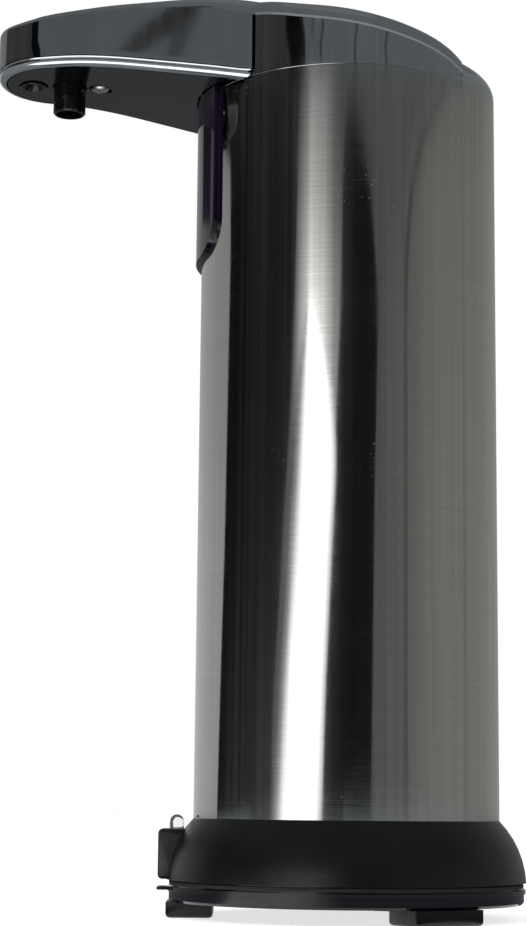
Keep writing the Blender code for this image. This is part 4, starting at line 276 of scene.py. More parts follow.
# Studio
WALL_RADIUS = 3.0
CARD_RADIUS = 2.6
FRONT_CARD_RADIUS = CARD_RADIUS - 0.04
STUDIO_LEVEL = 0.10
CARD_COLUMNS = 48
FLOOR_REACH = 6.0
FLOOR_GLOW = 0.72
ROOM_LIGHT = 0.55
CONTACT_RADIUS = BASE_RADIUS * 1.02
FLOOR_CARD_NEAR = BASE_RADIUS * 1.3
FLOOR_CARD_INNER = 0.125
FLOOR_CARD_REACH = 0.32
FLOOR_CARD_LEVEL = 0.0006
FLOOR_CARD_LIFT = 0.0002
BRIGHT_STOPS = (0.10, 0.45, 1.8, 2.4, 2.4, 2.4, 2.4, 2.2, 0.7)

SIDES = (("left", -1), ("right", 1))
SHARP_ANGLE = math.radians(28)

SHAPES = bpy.data.collections.new("shapes")
bpy.context.scene.collection.children.link(SHAPES)


def add_object(name, mesh, finish=None, location=(0, 0, 0), rotation=(0, 0, 0)):
    """A piece when it has a finish, and otherwise a cutter. Places are given about the tube's axis."""
    obj = bpy.data.objects.new(name if finish is None else "fine_" + name, mesh)
    obj.location = Vector(location) + Vector((AXIS_SHIFT, 0, 0))
    obj.rotation_euler = rotation
    obj["cutter"] = finish is None
    SHAPES.objects.link(obj)
    return obj


def mesh_from(points, faces, name):
    mesh = bpy.data.meshes.new(name)
    mesh.from_pydata(points, [], faces)
    shape = bmesh.new()
    shape.from_mesh(mesh)
    bmesh.ops.recalc_face_normals(shape, faces=shape.faces)
    shape.to_mesh(mesh)
    shape.free()
    return mesh


def boolean(obj, other, operation):
    step = obj.modifiers.new(other.name, "BOOLEAN")
    step.operation = operation
    step.solver = "EXACT"
    step.object = other
    return obj


def cut(obj, *cutters):
    for cutter in cutters:
        boolean(obj, cutter, "DIFFERENCE")
    return obj


def join(obj, *others):
    for other in others:
        boolean(obj, other, "UNION")
    return obj


def keep(obj, envelope):
    return boolean(obj, envelope, "INTERSECT")


def mesh_of(name, shape):
    mesh = bpy.data.meshes.new(name)
    shape.to_mesh(mesh)
    shape.free()
    return mesh


def box(name, front, rear, half, low, high, finish=None, bevel=0):
    """A box that reaches equally far to both sides of the middle."""
    shape = bmesh.new()
    bmesh.ops.create_cube(shape, size=1)
    bmesh.ops.scale(shape, vec=(rear - front, 2 * half, high - low), verts=shape.verts)
    obj = add_object(name, mesh_of(name, shape), finish, ((front + rear) / 2, 0, (low + high) / 2))
    if bevel:
        round_edges(obj, bevel)
    return obj


def round_edges(obj, width, segments=2):
    step = obj.modifiers.new("rounded edges", "BEVEL")
    step.width = width
    step.segments = segments
    step.limit_method = "ANGLE"
    return obj


def cylinder(name, radius, length, segments):
    shape = bmesh.new()
    bmesh.ops.create_cone(shape, cap_ends=True, segments=segments, radius1=radius, radius2=radius, depth=length)
    return mesh_of(name, shape)


def rod(name, radius, low, high, place=(0, 0), segments=SMALL_SEGMENTS):
    """An upright cylinder between two levels."""
    return add_object(name, cylinder(name, radius, high - low, segments), None, (*place, (low + high) / 2))


def lying_rod(name, radius, start, end):
    """A thin cylinder between two points."""
    way = Vector(end) - Vector(start)
    return add_object(name, cylinder(name, radius, way.length, PIN_SEGMENTS), None, (Vector(start) + Vector(end)) / 2,
                      way.to_track_quat("Z", "Y").to_euler())


def crosswise(name, radius, x, reach, z):
    """A thin cylinder across the middle, reaching equally far to both sides."""
    return lying_rod(name, radius, (x, -reach, z), (x, reach, z))


def turned(name, profile, finish=None, place=(0, 0), segments=ROUND_SEGMENTS):
    """A profile of (radius, level) points, down the outer side, spun about the vertical."""
    points = [(r, 0, z) for r, z in profile]
    edges = [(i, i + 1) for i in range(len(points) - 1)]
    if profile[0][0] > 0 or profile[-1][0] > 0:
        edges.append((len(points) - 1, 0))
    mesh = bpy.data.meshes.new(name)
    mesh.from_pydata(points, edges, [])
    obj = add_object(name, mesh, finish, (*place, 0))
    spin = obj.modifiers.new("spin", "SCREW")
    spin.axis = "Z"
    spin.steps = segments
    spin.render_steps = segments
    spin.use_merge_vertices = True
    spin.merge_threshold = FINE_GAP / 10
    spin.use_smooth_shade = False
    return obj


def ring(name, outer, inner, low, high, finish=None):
    return turned(name, [(outer, high), (outer, low), (inner, low), (inner, high)], finish)


def arc(centre, radius, start, end, steps):
    """Points of an arc between two angles."""
    angles = [start + (end - start) * i / steps for i in range(steps + 1)]
    return [(centre[0] + radius * math.cos(a), centre[1] + radius * math.sin(a)) for a in angles]


def smooth_table(x, xs, ys):
    """Cubic interpolation of a short table, level beyond its ends."""
    if x <= xs[0]:
        return ys[0]
    if x >= xs[-1]:
        return ys[-1]
    slopes = []
    for i in range(len(xs)):
        a = max(i - 1, 0)
        b = min(i + 1, len(xs) - 1)
        slopes.append((ys[b] - ys[a]) / (xs[b] - xs[a]))
    i = max(k for k in range(len(xs) - 1) if xs[k] <= x)
    step = xs[i + 1] - xs[i]
    t = (x - xs[i]) / step
    return (ys[i] * (2 * t**3 - 3 * t**2 + 1) + slopes[i] * step * (t**3 - 2 * t**2 + t)
            + ys[i + 1] * (3 * t**2 - 2 * t**3) + slopes[i + 1] * step * (t**3 - t**2))


def drop(x):
    """How far the head's skin lies under the level that its inner parts are set from."""
    return smooth_table((x + SPOUT_REACH) / EDGE_LENGTH, DROP_X_SHARES, DROPS)


def edge_level(x):
    """Height of the head's upper edge at a distance along the spout."""
    share = (x + SPOUT_REACH) / EDGE_LENGTH
    return HEAD_BOTTOM + EDGE_HEIGHT * smooth_table(share, EDGE_X_SHARES, EDGE_Z_SHARES) - drop(x)


def crease_level(x):
    return edge_level(x) - FILLET_HEIGHT


def under_level(x):
    """Height of the spout's lower edge."""
    share = (x + SPOUT_REACH) / SPOUT_REACH
    return HEAD_BOTTOM + UNDERSIDE_RISE * smooth_table(share, UNDER_X_SHARES, UNDER_Z_SHARES)


def half_width(x, inset=0):
    """Half the width of the head in plan at a distance along the spout."""
    tip = TIP_RADIUS - inset
    drum = DRUM_RADIUS - inset
    centre = TIP_RADIUS - SPOUT_REACH
    reach = max(drum**2 - x**2, 0) ** 0.5 if abs(x) < drum else 0
    tip_end = centre - tip * math.sin(FLANK_ANGLE)
    flank = (tip - (x - centre) * -math.sin(FLANK_ANGLE)) / math.cos(FLANK_ANGLE)
    if x < tip_end:
        return max(tip**2 - (x - centre)**2, 0) ** 0.5
    return flank if x < corner_x(inset) else reach


def corner_x(inset):
    """Where the flank of the spout meets the drum."""
    distance = TIP_RADIUS - inset - (TIP_RADIUS - SPOUT_REACH) * math.sin(FLANK_ANGLE)
    drum = DRUM_RADIUS - inset
    return drum * math.cos(math.pi / 2 + FLANK_ANGLE + math.acos(distance / drum))


def pinned(points):
    """The points, with both ends moved to the centre line."""
    return [(points[0][0], 0), *points[1:-1], (points[-1][0], 0)]


def head_plan(inset):
    """Points (x, half width) of the head's outline, from the tip to the rear."""
    tip = TIP_RADIUS - inset
    drum = DRUM_RADIUS - inset
    centre = (TIP_RADIUS - SPOUT_REACH, 0)
    points = arc(centre, tip, math.pi, math.pi / 2 + FLANK_ANGLE, TIP_STEPS)
    corner = corner_x(inset)
    corner_width = (drum**2 - corner**2) ** 0.5
    start = points[-1]
    for i in range(1, FLANK_STEPS + 1):
        share = i / FLANK_STEPS
        points.append((start[0] + (corner - start[0]) * share, start[1] + (corner_width - start[1]) * share))
    turn = math.atan2(corner_width, corner)
    return pinned(points + arc((0, 0), drum, turn, 0, DRUM_STEPS)[1:])


def circle_plan(radius, place_x=0, steps=12):
    """Points (x, half width) of a circle, from front to rear."""
    return pinned(arc((place_x, 0), radius, math.pi, 0, steps))


def oblong_plan(front, rear, half, steps):
    """Points (x, half width) of a rectangle."""
    return [(front + (rear - front) * i / steps, half) for i in range(steps + 1)]


def crown_fade(x):
    """One over the spout, falling to zero at the hood's rear."""
    share = min(max(x / HOOD_REAR, 0), 1)
    return 1 - share * share * (3 - 2 * share)


def top_level(x, y):
    """Height of the head's top surface."""
    width = half_width(x, FILLET_INSET)
    across = min(abs(y) / width, 1) if width > FINE_GAP else 1
    tip_fade = min(width / (TIP_RADIUS - FILLET_INSET), 1)**2
    return edge_level(x) + HEAD_CROWN * crown_fade(x) * tip_fade * (1 - across * across)


def mirrored_loop(plan):
    """The plan's points as one closed loop, as (x, y)."""
    return [(x, y) for x, y in plan] + [(x, -y) for x, y in plan[-2:0:-1]]


def surface_solid(name, plan, low, high, finish=None, strips=1):
    """A solid with a given plan between a lower and an upper surface, each a function of (x, y)."""
    points = []
    rows = []
    for x, half in plan:
        offsets = [0] if half <= FINE_GAP / 10 else [half * (2 * j / strips - 1) for j in range(strips + 1)]
        row = []
        for level in (low, high):
            row.append(range(len(points), len(points) + len(offsets)))
            points += [(x, y, level(x, y)) for y in offsets]
        rows.append(row)
    faces = []
    for here, there in zip(rows, rows[1:]):
        for a, b in ((here[0], there[0]), (here[1], there[1])):
            faces += strip_faces(a, b)
        for end in (0, -1):
            faces.append((here[0][end], there[0][end], there[1][end], here[1][end]))
    for row in (rows[0], rows[-1]):
        faces += strip_faces(row[0], row[1]) if len(row[0]) > 1 else []
    return add_object(name, mesh_from(points, faces, name), finish)


def band(a, b):
    """Faces between two closed loops of as many points."""
    count = len(a)
    return [(a[i], a[(i + 1) % count], b[(i + 1) % count], b[i]) for i in range(count)]


def strip_faces(a, b):
    """Faces between two rows of points, either of which may be a single point."""
    if len(a) == 1 and len(b) == 1:
        return []
    if len(a) == 1:
        return [(a[0], b[j], b[j + 1]) for j in range(len(b) - 1)]
    if len(b) == 1:
        return [(a[j], b[0], a[j + 1]) for j in range(len(a) - 1)]
    return [(a[j], b[j], b[j + 1], a[j + 1]) for j in range(len(a) - 1)]


def hinge_place():
    """The filler lid's hinge axis, just behind the lid."""
    x = NECK_OFFSET + LID_RADIUS + HINGE_SETBACK
    return (x, 0, top_level(x, 0) + HINGE_LIFT)


def ring_arc_centre():
    """Centre of the base ring's outer arc, which runs from the tube's edge down to the widest line."""
    rise = RING_HEIGHT
    run = BASE_RADIUS - TUBE_RADIUS
    chord = math.hypot(rise, run)
    depth = (RING_ARC_RADIUS**2 - chord**2 / 4) ** 0.5
    middle = (TUBE_RADIUS + run / 2, RING_BOTTOM + rise / 2)
    return (middle[0] - depth * rise / chord, middle[1] - depth * run / chord)


def ring_arc(radius, high, low, steps):
    """Points of an arc about the ring's centre between two levels."""
    centre = ring_arc_centre()
    start = math.asin((high - centre[1]) / radius)
    end = math.asin((low - centre[1]) / radius)
    return arc(centre, radius, start, end, steps)


def make_base_ring():
    outer = ring_arc(RING_ARC_RADIUS, RING_TOP, RING_BOTTOM, 6)
    inner = ring_arc(RING_ARC_RADIUS - RING_WALL, DECK_BOTTOM, RING_BOTTOM, 3)[::-1]
    spigot_top = RING_TOP + SPIGOT_HEIGHT
    profile = [(0, RING_TOP), (SPIGOT_INNER, RING_TOP), (SPIGOT_INNER, spigot_top), (SPIGOT_OUTER, spigot_top),
               (SPIGOT_OUTER, RING_TOP), *outer, *inner, (0, DECK_BOTTOM)]
    ring_body = turned("base_ring", profile, "satin_black")
    join(ring_body, box("block_at_the_front", -BLOCK_REACH, BLOCK_DEPTH - BLOCK_REACH, BLOCK_WIDTH / 2,
                        RING_BOTTOM + FINE_GAP, BLOCK_TOP, bevel=BLOCK_BEVEL))
    floor = pocket_floor()
    cut(ring_body,
        rod("pin_bore", PIN_HEAD_RADIUS + FINE_GAP, floor, BLOCK_TOP + OVERRUN, (PIN_X, 0)),
        rod("pin_stem_hole", PIN_STEM_RADIUS + FINE_GAP, RING_BOTTOM - OVERRUN, floor + OVERRUN, (PIN_X, 0)),
        box("lead_notch", SPIGOT_INNER - OVERRUN, SPIGOT_OUTER + OVERRUN, LEAD_NOTCH_WIDTH / 2, RING_TOP,
            spigot_top + OVERRUN))
    for label, side in SIDES:
        cut(ring_body, rod("lead_hole_" + label, LEAD_HOLE_RADIUS, DECK_BOTTOM - OVERRUN, RING_TOP + OVERRUN,
                           (LEAD_CIRCLE, side * LEAD_SPACING / 2)))


def pocket_floor():
    """Floor of the latch pin's spring pocket."""
    return pin_head_bottom() - PIN_SPRING_LENGTH - 2 * PIN_SPRING_CLEARANCE


def pin_head_bottom():
    return BLOCK_TOP + PIN_PROUD - PIN_HEAD_LENGTH


def make_latch_pin():
    top = BLOCK_TOP + PIN_PROUD
    bottom = pin_head_bottom()
    stem_end = RING_BOTTOM + PIN_TRAVEL + SEAT_GAP
    crown = arc((0, top - PIN_HEAD_RADIUS), PIN_HEAD_RADIUS, math.pi / 2, 0, 5)
    crown[0] = (0, top)
    profile = [*crown, (PIN_HEAD_RADIUS, bottom), (PIN_STEM_RADIUS, bottom), (PIN_STEM_RADIUS, stem_end),
               (0, stem_end)]
    turned("latch_pin", profile, "clear_plastic", (PIN_X, 0), PIN_SEGMENTS)


def make_battery_cover():
    reach = BASE_RADIUS - COVER_SETBACK
    flange = BASE_RADIUS - COVER_FLANGE_SETBACK
    flange_bottom = COVER_TOP - COVER_FLANGE_THICKNESS
    rim = BASE_RADIUS - RING_WALL - SEAT_GAP
    rim_top = COVER_TOP + COVER_RIM_HEIGHT
    profile = [(0, COVER_TOP), (rim - COVER_RIM_WALL, COVER_TOP), (rim - COVER_RIM_WALL, rim_top),
               (rim - SMALL_BEVEL, rim_top), (rim, rim_top - SMALL_BEVEL), (rim, COVER_TOP),
               (flange, COVER_TOP), (flange, flange_bottom), (reach, flange_bottom),
               (reach, COVER_BOTTOM + FOOT_BEVEL), (reach - FOOT_BEVEL, COVER_BOTTOM), (0, COVER_BOTTOM)]
    cover = turned("battery_cover", profile, "gloss_black")
    join(cover, box("lip_tab", -LIP_REACH, -reach + OVERRUN, LIP_WIDTH / 2, flange_bottom + FINE_GAP,
                    COVER_TOP - FINE_GAP, bevel=FOOT_BEVEL / 2))
    cut(cover, box("rim_notch", -BASE_RADIUS, BLOCK_DEPTH - BLOCK_REACH + OVERRUN, BLOCK_WIDTH / 2 + SEAT_GAP,
                   COVER_TOP, rim_top + OVERRUN))


def make_feet():
    """Three blocks with rounded lower edges, cut off square where they meet the plate."""
    reach = FOOT_REACH - FOOT_DEPTH / 2
    wide = BASE_RADIUS + OVERRUN
    above = box("above_the_feet", -wide, wide, wide, FOOT_HEIGHT + FINE_GAP / 2, FOOT_HEIGHT + 2 * OVERRUN)
    for index, angle in enumerate((math.pi, math.pi / 3, -math.pi / 3)):
        foot = box("foot_%d" % (index + 1), -FOOT_DEPTH / 2, FOOT_DEPTH / 2, FOOT_WIDTH / 2, 0, FOOT_HEIGHT + OVERRUN,
                   "satin_black", FOOT_ROUNDING)
        cut(foot, above)
        foot.location += Vector((reach * math.cos(angle), reach * math.sin(angle), 0))
        foot.rotation_euler = (0, 0, angle)


def make_body_tube():
    high = HEAD_BOTTOM - SEAM
    low = RING_TOP + SEAM
    tube = turned("body_tube", [(TUBE_RADIUS - SEAM, high), (TUBE_RADIUS, high - SEAM),
                                (TUBE_RADIUS, low), (TUBE_INNER, low), (TUBE_INNER, high)], "steel")
    cut(tube, window_plug("window_opening", WINDOW_LAP, -TUBE_RADIUS - OVERRUN, -OVERRUN))


def window_bottom():
    return TUBE_TOP + WINDOW_ABOVE_TUBE - WINDOW_HEIGHT


def window_plug(name, inset, front, rear, top=TUBE_TOP + OVERRUN):
    """The window's outline drawn in by an inset and pushed along the tube's front, as a cutter."""
    half = WINDOW_HALF_WIDTH - inset
    radius = WINDOW_CORNER - inset
    low = window_bottom() + inset
    corner = (half - radius, low + radius)
    right = arc(corner, radius, 0, -math.pi / 2, 6)
    outline = [(half, top), *right, *[(-y, z) for y, z in right[::-1]], (-half, top)]
    points = [(x, y, z) for x in (front, rear) for y, z in outline]
    count = len(outline)
    faces = [tuple(range(count)), tuple(range(2 * count - 1, count - 1, -1))]
    faces += band(range(count), range(count, 2 * count))
    return add_object(name, mesh_from(points, faces, name))


def make_sensor_window():
    """A curved panel on the tube, with a plug through the tube's opening and pegs for the sensor board."""
    outer = TUBE_RADIUS + WINDOW_PROUD
    low = window_bottom() - OVERRUN
    high = TUBE_TOP + WINDOW_ABOVE_TUBE
    window = ring("sensor_window", outer, TUBE_RADIUS + SEAM, low, high, "violet_window")
    keep(window, window_plug("window_outline", 0, -outer - OVERRUN, 0, high + OVERRUN))
    plug_top = TUBE_TOP - COLLAR_SPIGOT_HEIGHT - 2 * SEAT_GAP
    plug = ring("window_plug", TUBE_RADIUS + 2 * SEAT_GAP, SPIGOT_OUTER - SEAT_GAP, low, plug_top)
    keep(plug, window_plug("plug_outline", WINDOW_LAP + SEAT_GAP, -outer - OVERRUN, 0))
    join(window, plug)
    board_front = -(TUBE_RADIUS - SENSOR_BOARD_SETBACK)
    for index, (y, z) in enumerate(peg_places()):
        join(window, lying_rod("board_peg_%d" % index, WINDOW_PEG_RADIUS, (-TUBE_INNER, y, z),
                               (board_front - SEAT_GAP, y, z)))


def peg_places():
    """The pegs in line with the sensor board's corners."""
    low = sensor_level() - SENSOR_BOARD_HEIGHT / 2 + 2 * WINDOW_PEG_RADIUS
    return [(0, low), (SENSOR_LED_SPACING / 4, sensor_level() + WINDOW_PEG_RADIUS),
            (-SENSOR_LED_SPACING / 4, sensor_level() + WINDOW_PEG_RADIUS)]


def sensor_level():
    return window_bottom() + (WINDOW_HEIGHT - WINDOW_ABOVE_TUBE - COLLAR_SPIGOT_HEIGHT) / 2 + WINDOW_LAP


def along_spout(x):
    """Share of the way from the tip to the corner where the spout meets the drum."""
    return min(max((x + SPOUT_REACH) / (corner_x(0) + SPOUT_REACH), 0), 1)


def hood_surface():
    """The hood and spout as one open surface: side wall, an edge that gets rounder towards the drum, crowned top."""
    outer = head_plan(0)
    inner = head_plan(FILLET_INSET)
    blends = [along_spout(x)**3 for x, half in outer]
    sizes = [TIP_FILLET_SHARE + (1 - TIP_FILLET_SHARE) * blend for blend in blends]
    points = []
    rings = []

    def add_ring(insets, levels):
        plan = [(a[0] + (b[0] - a[0]) * inset, a[1] + (b[1] - a[1]) * inset)
                for a, b, inset in zip(outer, inner, insets)]
        loop = mirrored_loop(plan)
        rises = [*levels, *levels[-2:0:-1]]
        rings.append(range(len(points), len(points) + len(loop)))
        points.extend((x, y, level(x)) for (x, y), level in zip(loop, rises))
        return plan

    add_ring([0] * len(outer), [wall_bottom] * len(outer))
    for k in range(FILLET_STEPS + 1):
        insets = []
        levels = []
        for blend, size in zip(blends, sizes):
            begin = FILLET_START * blend
            angle = begin + (math.pi / 2 - begin) * k / FILLET_STEPS
            fall = FILLET_HEIGHT * size * (1 - (math.sin(angle) - math.sin(begin)) / (1 - math.sin(begin)))
            insets.append(size * (1 - math.cos(angle) / math.cos(begin)))
            levels.append(lambda x, fall=fall: edge_level(x) - fall)
        plan = add_ring(insets, levels)
    faces = []
    count = len(rings[0])
    for low, high in zip(rings, rings[1:]):
        faces += band(low, high)
    border = rings[-1]
    rows = []
    for index, (x, half) in enumerate(plan):
        row = [border[index]]
        if 0 < index < len(plan) - 1:
            for j in range(1, TOP_STRIPS):
                y = half * (1 - 2 * j / TOP_STRIPS)
                row.append(len(points))
                points.append((x, y, top_level(x, y)))
            row.append(border[count - index])
        rows.append(row)
    for a, b in zip(rows, rows[1:]):
        faces += strip_faces(a, b)
    return mesh_from(points, faces, "head_shell")


def wall_bottom(x):
    """Lower edge of the hood's wall: on the trim along the spout, and just under the crease on the drum."""
    trim_top = under_level(x) + TRIM_HEIGHT + FINE_GAP
    return trim_top if x < corner_x(0) else min(trim_top, crease_level(x) - OVERRUN)


def crease_chamfer():
    """A cutter that slants the hood's lower edge in to the collar's radius, following the crease."""
    turn = math.acos(corner_x(0) / DRUM_RADIUS)
    section = ((TUBE_RADIUS - FINE_GAP / 2, -FINE_GAP), (DRUM_RADIUS + FINE_GAP / 2, -FINE_GAP),
               (DRUM_RADIUS + FINE_GAP / 2, 2 * HOOD_LIP + FINE_GAP))
    points = []
    steps = 2 * DRUM_STEPS
    for i in range(steps + 1):
        a = turn * (2 * i / steps - 1)
        level = crease_level(DRUM_RADIUS * math.cos(a))
        points += [(r * math.cos(a), r * math.sin(a), level + rise) for r, rise in section]
    faces = [(0, 1, 2), tuple(range(3 * steps, 3 * steps + 3))]
    for i in range(0, 3 * steps, 3):
        faces += band(range(i, i + 3), range(i + 3, i + 6))
    return add_object("crease_chamfer", mesh_from(points, faces, "crease_chamfer"))


def make_head_shell():
    shell = add_object("head_shell", hood_surface(), "chrome")
    wall = shell.modifiers.new("wall", "SOLIDIFY")
    wall.thickness = HEAD_WALL
    wall.offset = -1
    wall.use_even_offset = True
    high = HEAD_BOTTOM + HEAD_HEIGHT + OVERRUN
    low = HEAD_BOTTOM - HEAD_HEIGHT
    below_crease = surface_solid("drum_below_crease", circle_plan(DRUM_RADIUS + SEAT_GAP, 0, 24),
                                 lambda x, y: low, lambda x, y: crease_level(x))
    rear = box("behind_the_hood", HOOD_REAR, DRUM_RADIUS + OVERRUN, TUBE_RADIUS + OVERRUN, low, high)
    opening = rod("lid_opening", LID_RADIUS + LID_GAP, HEAD_BOTTOM, high, (NECK_OFFSET, 0), ROUND_SEGMENTS // 2)
    slot_half = HINGE_ARM_WIDTH / 2 + SEAT_GAP
    slot = box("arm_slot", NECK_OFFSET + LID_RADIUS - OVERRUN, HOOD_REAR + OVERRUN, slot_half, HEAD_BOTTOM, high)
    screw_spot = (-SCREW_OFFSET, 0)
    boss = rod("screw_boss", SCREW_BOSS_RADIUS, under_level(-SCREW_OFFSET) + UNDERPLATE_THICKNESS + SEAT_GAP,
               top_level(*screw_spot) - HEAD_WALL / 2, screw_spot, PIN_SEGMENTS)
    cut(shell, below_crease)
    join(shell, boss)
    cut(shell, rear, opening, slot, crease_chamfer())
    hinge = hinge_place()
    for label, side in SIDES:
        join(shell, lying_rod("hinge_ear_" + label, HINGE_KNUCKLE_RADIUS,
                              (hinge[0], side * (slot_half - FINE_GAP), hinge[2]),
                              (hinge[0], side * (slot_half + HINGE_EAR_WIDTH), hinge[2])))
        spot = (-BUTTON_OFFSET, side * BUTTON_SPACING / 2)
        cut(shell, rod("button_hole_" + label, BUTTON_RADIUS + SEAT_GAP, board_level(), high, spot),
            rod("flange_room_" + label, BUTTON_RADIUS + BUTTON_FLANGE_WIDTH + SEAT_GAP, board_level(),
                button_flange_top() + SEAT_GAP, spot))
    light_spot = (-LIGHT_OFFSET, 0)
    flange = LIGHT_RADIUS + LIGHT_FLANGE_WIDTH
    cut(shell, crosswise("hinge_pin_hole", HINGE_PIN_RADIUS + RUNNING_GAP, hinge[0], DRUM_RADIUS, hinge[2]),
        rod("light_hole", LIGHT_RADIUS + SEAT_GAP, board_level(), high, light_spot, PIN_SEGMENTS),
        rod("light_room", flange + SEAT_GAP, board_level(), ceiling(*light_spot, flange), light_spot, PIN_SEGMENTS),
        rod("screw_thread", SCREW_SHANK_RADIUS + FINE_GAP, HEAD_BOTTOM, screw_end() + SEAT_GAP, screw_spot,
            PIN_SEGMENTS))


def make_head_collar():
    """The drum's wall under the hood, with a spigot that goes down into the tube."""
    top = HEAD_BOTTOM + HEAD_HEIGHT
    spigot_bottom = TUBE_TOP - COLLAR_SPIGOT_HEIGHT
    inner = TUBE_RADIUS - COLLAR_WALL
    front = -TUBE_RADIUS - OVERRUN
    profile = [(inner, top), (TUBE_RADIUS, top), (TUBE_RADIUS, HEAD_BOTTOM + RIM_BEVEL),
               (TUBE_RADIUS - RIM_BEVEL, HEAD_BOTTOM), (SPIGOT_OUTER, HEAD_BOTTOM), (SPIGOT_OUTER, spigot_bottom),
               (inner, spigot_bottom)]
    half = COLLAR_PASSAGE_HALF_WIDTH
    cut(turned("head_collar", profile, "chrome"),
        surface_solid("above_the_collar", oblong_plan(front, HOOD_REAR, -front, 24),
                      lambda x, y: crease_level(x) - SEAM, lambda x, y: top + 4 * OVERRUN),
        box("above_the_rear", HOOD_REAR - FINE_GAP, -front, -front, HEAD_BOTTOM + COLLAR_REAR_HEIGHT,
            top + 5 * OVERRUN),
        box("spout_passage", front, -half, half, HEAD_BOTTOM + COLLAR_SILL, top + 6 * OVERRUN),
        box("window_room", front, -half, half, spigot_bottom - OVERRUN, HEAD_BOTTOM))


def make_rear_shoulder():
    """The low rounded segment behind the hood."""
    low = HEAD_BOTTOM + COLLAR_REAR_HEIGHT + SEAM
    high = HEAD_BOTTOM + COLLAR_REAR_HEIGHT + SEAT_GAP + SHOULDER_HEIGHT
    edge = [(TUBE_RADIUS + SHOULDER_INSET * (x - 1), high + SHOULDER_FALL * (z - 1))
            for x, z in arc((0, 0), 1, math.pi / 2, 0, 8)]
    shoulder = turned("rear_shoulder", [(0, high), *edge, (TUBE_RADIUS, low), (0, low)], "chrome")
    keep(shoulder, box("shoulder_room", HOOD_REAR + SEAM, TUBE_RADIUS + OVERRUN, TUBE_RADIUS + OVERRUN, low - OVERRUN,
                       high + OVERRUN))


def make_spout_trim():
    """A double bead swept along the lower edge of the spout, cut off where it meets the drum."""
    profile = [(TRIM_DEPTH, 0), *[(TRIM_DEPTH * a, TRIM_HEIGHT * b) for a, b in TRIM_SHARES],
               (TRIM_DEPTH, TRIM_HEIGHT)]
    points = []
    rings = []
    for inset, rise in profile:
        loop = mirrored_loop(head_plan(inset))
        rings.append(range(len(points), len(points) + len(loop)))
        points.extend((x, y, under_level(x) + rise) for x, y in loop)
    faces = []
    for a, b in zip(rings, rings[1:] + rings[:1]):
        faces += band(a, b)
    trim = add_object("spout_trim", mesh_from(points, faces, "spout_trim"), "chrome")
    cut(trim, drum_room("trim_drum_room", DRUM_RADIUS + SEAT_GAP))


def drum_room(name, radius):
    return rod(name, radius, HEAD_BOTTOM - 3 * OVERRUN, HEAD_BOTTOM + HEAD_HEIGHT, segments=ROUND_SEGMENTS)


def make_underplate():
    """The plate that closes the spout from below, with bosses for the control board."""
    plate = surface_solid("spout_underplate", head_plan(TRIM_DEPTH + SEAT_GAP), lambda x, y: under_level(x),
                          lambda x, y: under_level(x) + UNDERPLATE_THICKNESS, "gloss_black")
    cut(plate, drum_room("plate_drum_room", TUBE_RADIUS + WINDOW_PROUD + SEAT_GAP))
    top = board_level() - SEAT_GAP
    for index, (x, y) in enumerate(board_boss_places()):
        join(plate, rod("board_boss_%d" % index, BOARD_BOSS_RADIUS, under_level(x) + UNDERPLATE_THICKNESS / 2, top,
                        (x, y), PIN_SEGMENTS))
    low = HEAD_BOTTOM - OVERRUN
    head_room = under_level(-SCREW_OFFSET) + SCREW_HEAD_THICKNESS
    cut(plate,
        rod("nozzle_hole", NOZZLE_RADIUS + SEAT_GAP, low, top, (-NOZZLE_OFFSET, 0)),
        rod("lens_hole", LENS_RADIUS + SEAT_GAP, low, top, (-LENS_OFFSET, 0)),
        rod("screw_head_room", SCREW_HEAD_RADIUS + 2 * SEAT_GAP, low, head_room, (-SCREW_OFFSET, 0)),
        rod("screw_shank_hole", SCREW_SHANK_RADIUS + SEAT_GAP, low, top, (-SCREW_OFFSET, 0), PIN_SEGMENTS))


def board_boss_places():
    front = -board_middle() - BOARD_LENGTH / 2 + 2 * BOARD_BOSS_RADIUS
    rear = -board_middle() + BOARD_LENGTH / 2 - 4 * BOARD_BOSS_RADIUS
    side = BOARD_WIDTH / 2 - BOARD_BOSS_RADIUS
    return [(front, -side), (rear, -side), ((front + rear) / 2, BOARD_BOSS_RADIUS / 2)]


def nozzle_levels():
    """The nozzle's lower end, its flange's two faces and its upper end."""
    low = under_level(-NOZZLE_OFFSET) - NOZZLE_BELOW_SPOUT
    flange_low = highest_plate(NOZZLE_OFFSET, NOZZLE_RADIUS + NOZZLE_FLANGE_WIDTH) + SEAT_GAP
    return low, flange_low, flange_low + NOZZLE_FLANGE_THICKNESS, low + NOZZLE_LENGTH


